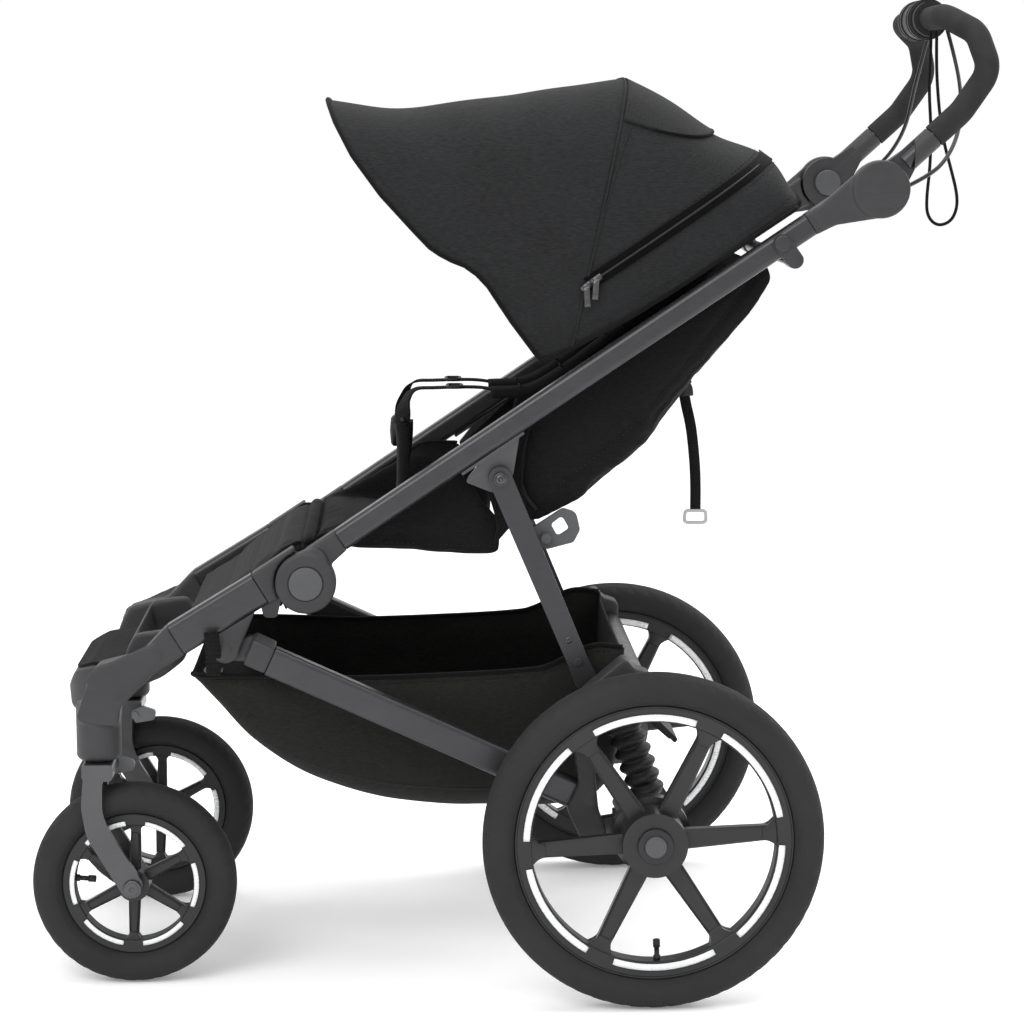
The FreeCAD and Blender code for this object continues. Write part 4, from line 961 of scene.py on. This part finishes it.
def make_leg_panel():
    legs = inflated("leg_pad", "leg_panel", LEGS, 0.005)
    lines = [[(x, -0.15, z), (x, 0.15, z)] for x, z in
             ((-0.375, 0.4455), (-0.337, 0.4705), (-0.305, 0.4967), (-0.278, 0.5180))]
    for side in (NEAR, FAR):
        lines.append([(-0.392, side * 0.152, 0.4355), (-0.348, side * 0.152, 0.4610),
                      (-0.326, side * 0.152, 0.4800), (-0.262, side * 0.152, 0.5300)])
    channel(legs, lines, 0.0026)
    tree = surface_of(legs)
    trims = []
    for side in (NEAR, FAR):
        row = smooth_line([(-0.395, 0.433), (-0.348, 0.461), (-0.326, 0.480),
                           (-0.267, 0.527), (-0.246, 0.539)], 50)
        line = hugging(tree, [(x, side * 0.168, z) for x, z in row])
        trims.append(tube("leg_piping", line, 0.0026, TAPE))
    trim = joined("leg_trim", trims)
    for piece in (legs, trim):
        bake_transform(piece)
    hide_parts("leg_panel")


make_seat()
make_backrest()
make_leg_panel()


# ---- basket -------------------------------------------------------------------------
def make_basket():
    """Hanging tub: rounded sections between a taut rim and a sagging floor."""
    low = [(-0.376, 0.3720), (-0.3485, 0.3366), (-0.3068, 0.2841), (-0.2543, 0.2459),
           (-0.1839, 0.2161), (-0.1136, 0.2016), (-0.0301, 0.1956), (0.0500, 0.1955),
           (0.0940, 0.2010), (0.1150, 0.2160), (0.1270, 0.2370), (0.1330, 0.2900),
           (0.1352, 0.3450), (0.1362, 0.3960)]
    rim = [(-0.376, 0.3772), (-0.292, 0.3768), (-0.1837, 0.3732), (-0.060, 0.3765),
           (0.020, 0.3810), (0.050, 0.3870), (0.098, 0.4095), (0.1362, 0.4080)]
    count, columns = 110, 73
    floor_line = smooth_line(low, count)
    verts = []
    for i, (x, floor) in enumerate(floor_line):
        u = i / (count - 1)
        top_z = float(np.interp(x, [p[0] for p in rim], [p[1] for p in rim]))
        half = 0.198 - 0.010 * (1 - min(u * 5, 1.0)) ** 2
        for j in range(columns):
            turn = math.pi * j / (columns - 1)
            c, s = math.cos(turn), math.sin(turn)
            y = -half * math.copysign(abs(c) ** 0.42, c)
            deep = max(s, 0.0) ** 0.5
            place = Vector((x, y, top_z - (top_z - floor) * deep))
            fold = noise.noise(Vector((place.x * 14, place.y * 5, place.z * 9)))
            ripple = math.sin(place.x * 70 + 4 * noise.noise(place * 6))
            side_on = abs(c) ** 0.5 * deep * (1 - deep)
            place.y += math.copysign(1, y) * (-0.006 * side_on * 4 + 0.0025 * fold
                                              + 0.0012 * ripple * side_on * 3)
            place.z += 0.0030 * fold * deep
            place.z = max(place.z, 0.196)
            verts.append(place)
    tub = new_piece("basket_tub", verts, grid_faces(count, columns), BASKET)
    tub = thick(tub, 0.0024)
    trims = []
    for side in (NEAR, FAR):
        edge = smooth_line([(x, z) for x, z in rim], 60)
        trims.append(tube("rim_binding", [Vector((x, side * (0.198 - (0.01 if x < -0.37
                                                                    else 0.0)), z))
                                          for x, z in edge], 0.0034, TAPE))
        line = [Vector(verts[i * columns + (16 if side < 0 else columns - 17)])
                for i in range(3, count - 30)]
        line = [p + Vector((0, side * 0.0012, -0.0006)) for p in line]
        trims.append(tube("floor_piping", line, 0.0022, LEGS))
        row = [(x, z - 0.006) for x, z in edge[2:-3]]
        at, up = on_side(surface_of(tub), row, side)
        trims.append(stitches("rim_stitch", at, up, THREAD))
        trims.append(hanger(-0.352, side, rim))
        for x in (-0.360, -0.344):
            trims.append(turned("snap", [(0.0038, 0.0), (0.0038, 0.0012), (0.0026, 0.0022),
                                         (0.00005, 0.0024)], (x, side * 0.2005, 0.3850), side,
                                GUN, 20))
    front = [verts[j] + Vector((-0.001, 0, 0.001)) for j in range(columns)]
    trims.append(tube("front_binding", front, 0.0034, TAPE))
    trim = joined("basket_trim", trims)
    for piece in (tub, trim):
        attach(piece, "chassis")
        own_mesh(piece)
    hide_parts("basket")


def hanger(x, side, rim):
    """Webbing loop that holds the basket's rim to the rail."""
    z = float(np.interp(x, [p[0] for p in rim], [p[1] for p in rim]))
    rail_z = 0.3662 - (x + 0.200) * math.tan(math.radians(24.6))
    y0, y1 = side * 0.199, side * 0.2265
    low, high = min(z, rail_z + 0.004), max(z, rail_z + 0.004)
    if high - low > 0.09:
        low = high - 0.09
    points = [(x, y0, z), (x + 0.001, (y0 + y1) / 2, (z + rail_z) / 2), (x, y1, rail_z)]
    line = smooth_line(points, 12)
    return ribbon("basket_hanger", [Vector(p) for p in line], Vector((0, side, 0.3)),
                  0.018, 0.0016, WEB)


make_basket()


# ---- bellows on the suspension ------------------------------------------------------
def make_boots():
    for side, word in ((NEAR, "left"), (FAR, "right")):
        top, base = Vector((0.132, side * 0.244, 0.3295)), Vector((0.164, side * 0.244, 0.2375))
        axis = base - top
        ribs, per = 6, 10
        verts = []
        for i in range(ribs * per + 1):
            t = i / (ribs * per)
            wave = 0.5 - 0.5 * math.cos(math.tau * t * ribs)
            r = 0.0172 - 0.0012 * t + 0.0058 * wave ** 0.7
            side_way = Vector((0, 1, 0))
            over = axis.normalized().cross(side_way)
            for j in range(40):
                a = math.tau * j / 40
                verts.append(top + axis * t + side_way * r * math.cos(a)
                             + over * r * math.sin(a))
        n = ribs * per + 1
        faces = grid_faces(n, 40, False, True)
        faces += [tuple(range(40)), tuple(range((n - 1) * 40, n * 40))]
        boot = new_piece("spring_boot_" + word, verts, faces, BOOT)
        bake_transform(boot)
        if side == NEAR:
            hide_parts("suspension_boots")


make_boots()


# ---- harness ------------------------------------------------------------------------
def make_harness():
    hips, shoulders = [], []
    for side in (NEAR, FAR):
        pad_line = smooth_line([(-0.125, side * 0.062, 0.545), (-0.124, side * 0.062, 0.600),
                                (-0.124, side * 0.061, 0.640), (-0.127, side * 0.059, 0.664)],
                               24)
        hips.append(ribbon("hip_pad", [Vector(p) for p in pad_line], Vector((-1, 0, 0.1)),
                           0.050, 0.012, SEAT, -0.006, 0.003))
        strap = smooth_line([(-0.127, side * 0.058, 0.660), (-0.122, side * 0.054, 0.690),
                             (-0.110, side * 0.051, 0.7045), (-0.085, side * 0.050, 0.7065),
                             (-0.034, side * 0.050, 0.7070), (0.004, side * 0.050, 0.7020),
                             (0.030, side * 0.050, 0.7030)], 50)
        shoulders.append(ribbon("shoulder_web", [Vector(p) for p in strap],
                                Vector((0.0, 0, 1)), 0.025, 0.0022, WEB, -0.001))
        pad = smooth_line([(-0.016, side * 0.050, 0.7010), (0.030, side * 0.050, 0.7045),
                           (0.070, side * 0.050, 0.7260), (0.120, side * 0.050, 0.7620),
                           (0.148, side * 0.050, 0.7830)], 40)
        shoulders.append(ribbon("shoulder_pad", [Vector(p) for p in pad],
                                Vector((-0.5, 0, 0.86)), 0.046, 0.010, SEAT, -0.006, 0.003))
        for t in (8, 20, 31):
            p = Vector(pad[t])
            across = [p + Vector((-0.0035, dy, 0.0068)) for dy in
                      (-0.0235, -0.012, 0.0, 0.012, 0.0235)]
            shoulders.append(tube("pad_seam", across, 0.0011, TAPE, sides=6))
        slide = [Vector((-0.070, side * 0.050 - 0.017, 0.7085)),
                 Vector((-0.070, side * 0.050 + 0.017, 0.7085)),
                 Vector((-0.052, side * 0.050 + 0.017, 0.7085)),
                 Vector((-0.052, side * 0.050 - 0.017, 0.7085))]
        shoulders.append(tube("strap_slide", rounded_loop(slide), 0.0022, BLACK, closed=True))
        for x in (-0.125,):
            shoulders.append(tube("strap_loop", [Vector((x, side * 0.058 + d, 0.668))
                                                 for d in (-0.017, 0.0, 0.017)], 0.0030,
                                  BLACK))
    crotch = smooth_line([(-0.131, 0.0, 0.543), (-0.124, 0.0, 0.595), (-0.118, 0.0, 0.640),
                          (-0.117, 0.0, 0.660)], 24)
    hips.append(ribbon("crotch_pad", [Vector(p) for p in crotch], Vector((-1, 0, 0.15)),
                       0.046, 0.010, SEAT, -0.005, 0.003))
    hip = joined("harness_hips", hips)
    shoulder = joined("harness_shoulders", shoulders)
    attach(hip, "upper_frame")
    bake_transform(shoulder)
    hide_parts("harness_buckle")
    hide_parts("harness_pads")
    buckle = []
    buckle.append(turned("buckle_body", [(0.0001, 0.0), (0.017, 0.0), (0.0195, 0.002),
                                         (0.0195, 0.007), (0.016, 0.010), (0.0001, 0.0115)],
                         (0, 0, 0), 1, BLACK))
    for piece in buckle:
        piece.data.transform(_stand_up(Vector((-0.130, 0.0, 0.648))))
    clasp = joined("harness_clasp", buckle)
    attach(clasp, "upper_frame")


def _stand_up(place):
    """Turns a piece made about Y so that it faces forwards at place."""
    from mathutils import Matrix
    return Matrix.Translation(place) @ Matrix.Rotation(math.radians(90), 4, "Z")


def rounded_loop(corners, per=6):
    """A rounded closed loop through four corners."""
    out = []
    n = len(corners)
    for i in range(n):
        a, b, c = corners[i - 1], corners[i], corners[(i + 1) % n]
        start, end = b.lerp(a, 0.25), b.lerp(c, 0.25)
        for k in range(per):
            t = k / (per - 1)
            out.append((1 - t) ** 2 * start + 2 * t * (1 - t) * b + t * t * end)
    return out


make_harness()


# ---- recline strap ------------------------------------------------------------------
def make_recline_strap():
    y = -0.100
    tail = smooth_line([(0.2175, y, 0.704), (0.2200, y, 0.690), (0.2265, y, 0.660),
                        (0.2310, y, 0.620), (0.2325, y, 0.590), (0.2327, y, 0.5585)], 50)
    tail_web = ribbon("tail", [Vector(p) for p in tail], Vector((0, -1, 0)), 0.013, 0.0022,
                      WEB, -0.001)
    lock = ribbon("lock", [Vector(p) for p in smooth_line(
        [(0.213, y, 0.716), (0.219, y, 0.710), (0.2205, y, 0.700)], 8)],
        Vector((0, -1, 0)), 0.017, 0.007, BLACK, -0.003)
    up = ribbon("upper_web", [Vector(p) for p in smooth_line(
        [(0.204, y, 0.712), (0.212, y, 0.7165), (0.224, y, 0.7225)], 8)],
        Vector((0, -1, 0)), 0.013, 0.0022, WEB)
    ring = rounded_loop([Vector((0.2200, y - 0.0, 0.5590)), Vector((0.2455, y, 0.5590)),
                         Vector((0.2460, y, 0.5440)), Vector((0.2195, y, 0.5440))], 8)
    ring_piece = tube("ring", ring, 0.0021, LIGHT, closed=True, sides=10)
    strap = joined("recline_pull", [tail_web, lock, up, ring_piece])
    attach(strap, "backrest")
    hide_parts("recline_strap")


make_recline_strap()


# ---- wheels -------------------------------------------------------------------------
def make_tyre(name, centre, radius, bead, width, lugs, body, node):
    """Air tyre: rounded section, grooved shoulders and a ribbed sidewall."""
    mid = (radius + bead - 0.002) / 2
    tall = (radius - bead + 0.002) / 2
    half = width / 2
    around, per = lugs * 8, 40
    verts = []
    for i in range(around):
        a = math.tau * i / around
        for j in range(per):
            phi = math.tau * j / per
            c, s = math.cos(phi), math.sin(phi)
            out = math.copysign(abs(c) ** 0.86, c)
            wide = math.copysign(abs(s) ** 0.86, s)
            lat = math.degrees(math.atan2(abs(s), c))
            depth = 0.0
            if 22 < lat < 66:
                phase = (i / 8 + 0.42 * math.sin(math.radians((lat - 22) / 44 * 180))
                         * (1 if s > 0 else -1)) % 1.0
                cut = max(0.0, math.cos(math.tau * phase)) ** 3
                edge = math.sin(math.pi * (lat - 22) / 44) ** 0.5
                depth = 0.0014 * cut * edge
            if abs(lat - 17) < 5:
                depth = max(depth, 0.0011 * (1 - abs(lat - 17) / 5))
            if 92 < lat < 100 or 116 < lat < 122:
                depth = -0.0006
            r = mid + (tall - depth) * out
            y = centre[1] + (half - depth) * wide
            verts.append((centre[0] + r * math.cos(a), y, centre[2] + r * math.sin(a)))
    piece = new_piece(name, verts, grid_faces(around, per, True, True), TYRE)
    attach(piece, body)
    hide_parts(node)
    return piece


def arc_band(name, centre, y, side, r0, r1, a0, a1, depth, material, steps=28):
    """Raised curved strip on a wheel's side face, from angle a0 to a1 in degrees."""
    verts = []
    for i in range(steps + 1):
        t = i / steps
        a = math.radians(a0 + (a1 - a0) * t)
        end = 0.92 if i in (0, steps) else 1.0
        m = (r0 + r1) / 2
        h = (r1 - r0) / 2 * end
        for r, out in ((m - h, 0.0), (m - h * 0.85, depth), (m, depth * 1.25),
                       (m + h * 0.85, depth), (m + h, 0.0)):
            verts.append((centre[0] + r * math.cos(a), y + side * out,
                          centre[2] + r * math.sin(a)))
    faces = grid_faces(steps + 1, 5, False, True)
    faces += [tuple(range(5)), tuple(range(steps * 5, steps * 5 + 5))]
    return new_piece(name, verts, faces, material)


def spoke_foot(centre, y, side, degrees, r0, r1, narrow, wide):
    """Gusset that widens a spoke where it runs into the rim."""
    a = math.radians(degrees)
    along, across = Vector((math.cos(a), 0, math.sin(a))), Vector((-math.sin(a), 0, math.cos(a)))
    middle = Vector((centre[0], y, centre[2]))
    outline = []
    for t in np.linspace(0.0, 1.0, 9):
        outline.append((r0 + (r1 - r0) * t, narrow + (wide - narrow) * t ** 2.2))
    verts = []
    for level in (-0.0075, 0.0, 0.0003):
        for r, w in outline:
            inset = 0.0008 if level > 0 else 0.0
            for s in (-1, 1):
                verts.append(middle + along * r + across * s * (w - inset)
                             + Vector((0, side * (level - 0.0045), 0)))
    n = len(outline)
    faces = []
    for layer in range(2):
        for i in range(n - 1):
            for s in (0, 1):
                a0 = layer * 2 * n + i * 2 + s
                faces.append((a0, a0 + 2, a0 + 2 + 2 * n, a0 + 2 * n))
        for i in (0, n - 1):
            a0 = layer * 2 * n + i * 2
            faces.append((a0, a0 + 1, a0 + 1 + 2 * n, a0 + 2 * n))
    for layer in (0, 2):
        for i in range(n - 1):
            a0 = layer * 2 * n + i * 2
            faces.append((a0, a0 + 1, a0 + 3, a0 + 2))
    return new_piece("spoke_foot", verts, faces, RIM, smooth=False)


def valve(centre, y, radius, degrees):
    a = math.radians(degrees)
    inward = Vector((-math.cos(a), 0, -math.sin(a)))
    root = Vector((centre[0], y, centre[2])) - inward * radius
    line = [root + inward * t for t in (0.0, 0.006, 0.0062, 0.016, 0.0162, 0.025, 0.0255)]
    sizes = [0.0042, 0.0042, 0.0030, 0.0030, 0.0042, 0.0042, 0.0034]
    verts = []
    side = Vector((0, 1, 0))
    over = inward.cross(side)
    for p, r in zip(line, sizes):
        for j in range(16):
            t = math.tau * j / 16
            verts.append(p + side * r * math.cos(t) + over * r * math.sin(t))
    faces = grid_faces(len(line), 16, False, True)
    faces += [tuple(range(16)), tuple(range((len(line) - 1) * 16, len(line) * 16))]
    return new_piece("valve", verts, faces, BLACK)


def make_wheels():
    for side, word in ((NEAR, "left"), (FAR, "right")):
        rear = (0.1644, side * 0.310, 0.200)
        make_tyre("tyre_rear_" + word, rear, 0.2, 0.163, 0.047, 54, "rear_wheel_" + word,
                  "rear_tyre_" + word)
        front = (-0.4512, side * 0.183, 0.1225)
        make_tyre("tyre_front_" + word, front, 0.1225, 0.087, 0.045, 36,
                  "front_wheel_" + word, "front_tyre_" + word)
        trims = []
        for k in range(6):
            first = 4 + k * 60
            for face in (1, -1):
                y = rear[1] + face * 0.0135
                trims.append(arc_band("rim_band", rear, y, face, 0.1450, 0.1532,
                                      first + 7.5, first + 54.5, 0.0006, REFLECT))
                trims.append(spoke_foot(rear, y, face, first, 0.1270, 0.1455, 0.0080, 0.0200))
        trims.append(valve(rear, rear[1], 0.1445, -88))
        for face in (1, -1):
            trims.append(turned("rim_lip", [(0.1600, 0.0), (0.1612, 0.0012), (0.1626, 0.0010),
                                            (0.1630, 0.0)],
                                (rear[0], rear[1] + face * 0.0138, rear[2]), face, RIM, 120,
                                ring=True))
        band = joined("rear_wheel_trim_" + word, trims)
        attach(band, "rear_wheel_" + word)
        trims = []
        for k in range(6):
            first = 28 + k * 60
            for face in (1, -1):
                y = front[1] + face * 0.0125
                trims.append(arc_band("rim_band", front, y, face, 0.0718, 0.0778,
                                      first + 9, first + 51, 0.0006, REFLECT, 20))
                trims.append(spoke_foot(front, y, face, first, 0.0620, 0.0725, 0.0052, 0.0120))
        trims.append(valve(front, front[1], 0.0725, 176))
        band = joined("front_wheel_trim_" + word, trims)
        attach(band, "front_wheel_" + word)


make_wheels()


# ---- moulded castings ---------------------------------------------------------------
MOULDED = [("main_hinges", "upper_frame", CAST, "casting_grey", 0.0018, 6),
           ("handle_hubs", "upper_frame", CAST, "casting_grey", 0.0018, 6),
           ("hinge_knuckles", "front_frame", CAST, "casting_grey", 0.0018, 6),
           ("fork_housings", "front_frame", CAST, "casting_grey", 0.0022, 12),
           ("footrest", "front_frame", CAST, "casting_grey", 0.0025, 12),
           ("rail_elbows", "chassis", CAST, "casting_grey", 0.0022, 8),
           ("rear_castings", "chassis", CAST, "casting_grey", 0.0022, 10),
           ("rail_clevises", "front_frame", CAST, "casting_grey", 0.0016, 4)]


def make_castings():
    """The castings with the rounded edges that a mould gives them."""
    for node, body, material, slot, voxel, rounds in MOULDED:
        piece = bpy.data.objects.new("cast_" + node, NODES[node].data.copy())
        SCENE.collection.objects.link(piece)
        remesh = piece.modifiers.new("voxels", "REMESH")
        remesh.mode = "VOXEL"
        remesh.voxel_size = voxel
        soft = piece.modifiers.new("soft", "SMOOTH")
        soft.factor = 0.5
        soft.iterations = rounds
        applied(piece)
        piece.data.materials.clear()
        piece.data.materials.append(material)
        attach(piece, body)
        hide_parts(node)


make_castings()


# ---- small hardware -----------------------------------------------------------------
def bolt(name, x, y, z, side, radius, height, material=GUN, body="upper_frame",
         socket=True):
    """Domed bolt head with a round socket."""
    profile = [(radius, 0.0), (radius, height * 0.45), (radius * 0.82, height * 0.85),
               (radius * 0.5, height)]
    if socket:
        profile += [(radius * 0.46, height), (radius * 0.44, height * 0.35),
                    (0.00005, height * 0.3)]
    else:
        profile += [(0.00005, height * 1.04)]
    piece = turned(name, profile, (x, y, z), side, material, 24)
    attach(piece, body)
    return piece


def make_hardware():
    for side, word in ((NEAR, "left"), (FAR, "right")):
        bolt("strut_top_bolt_" + word, -0.0108, side * 0.226, 0.6145, side, 0.0062, 0.0025)
        bolt("front_axle_cap_" + word, -0.4512, side * 0.2222, 0.1225, side, 0.0082, 0.0018,
             CAP, "fork_" + word)
        bolt("sleeve_rivet_" + word, 0.4890, side * 0.1905, 1.0060, -side, 0.0032, 0.0018,
             GUN, "handlebar")
        bolt("strut_rivet_" + word, 0.0700, side * 0.2195, 0.4210, side, 0.0040, 0.0018,
             GUN, "struts")


make_hardware()
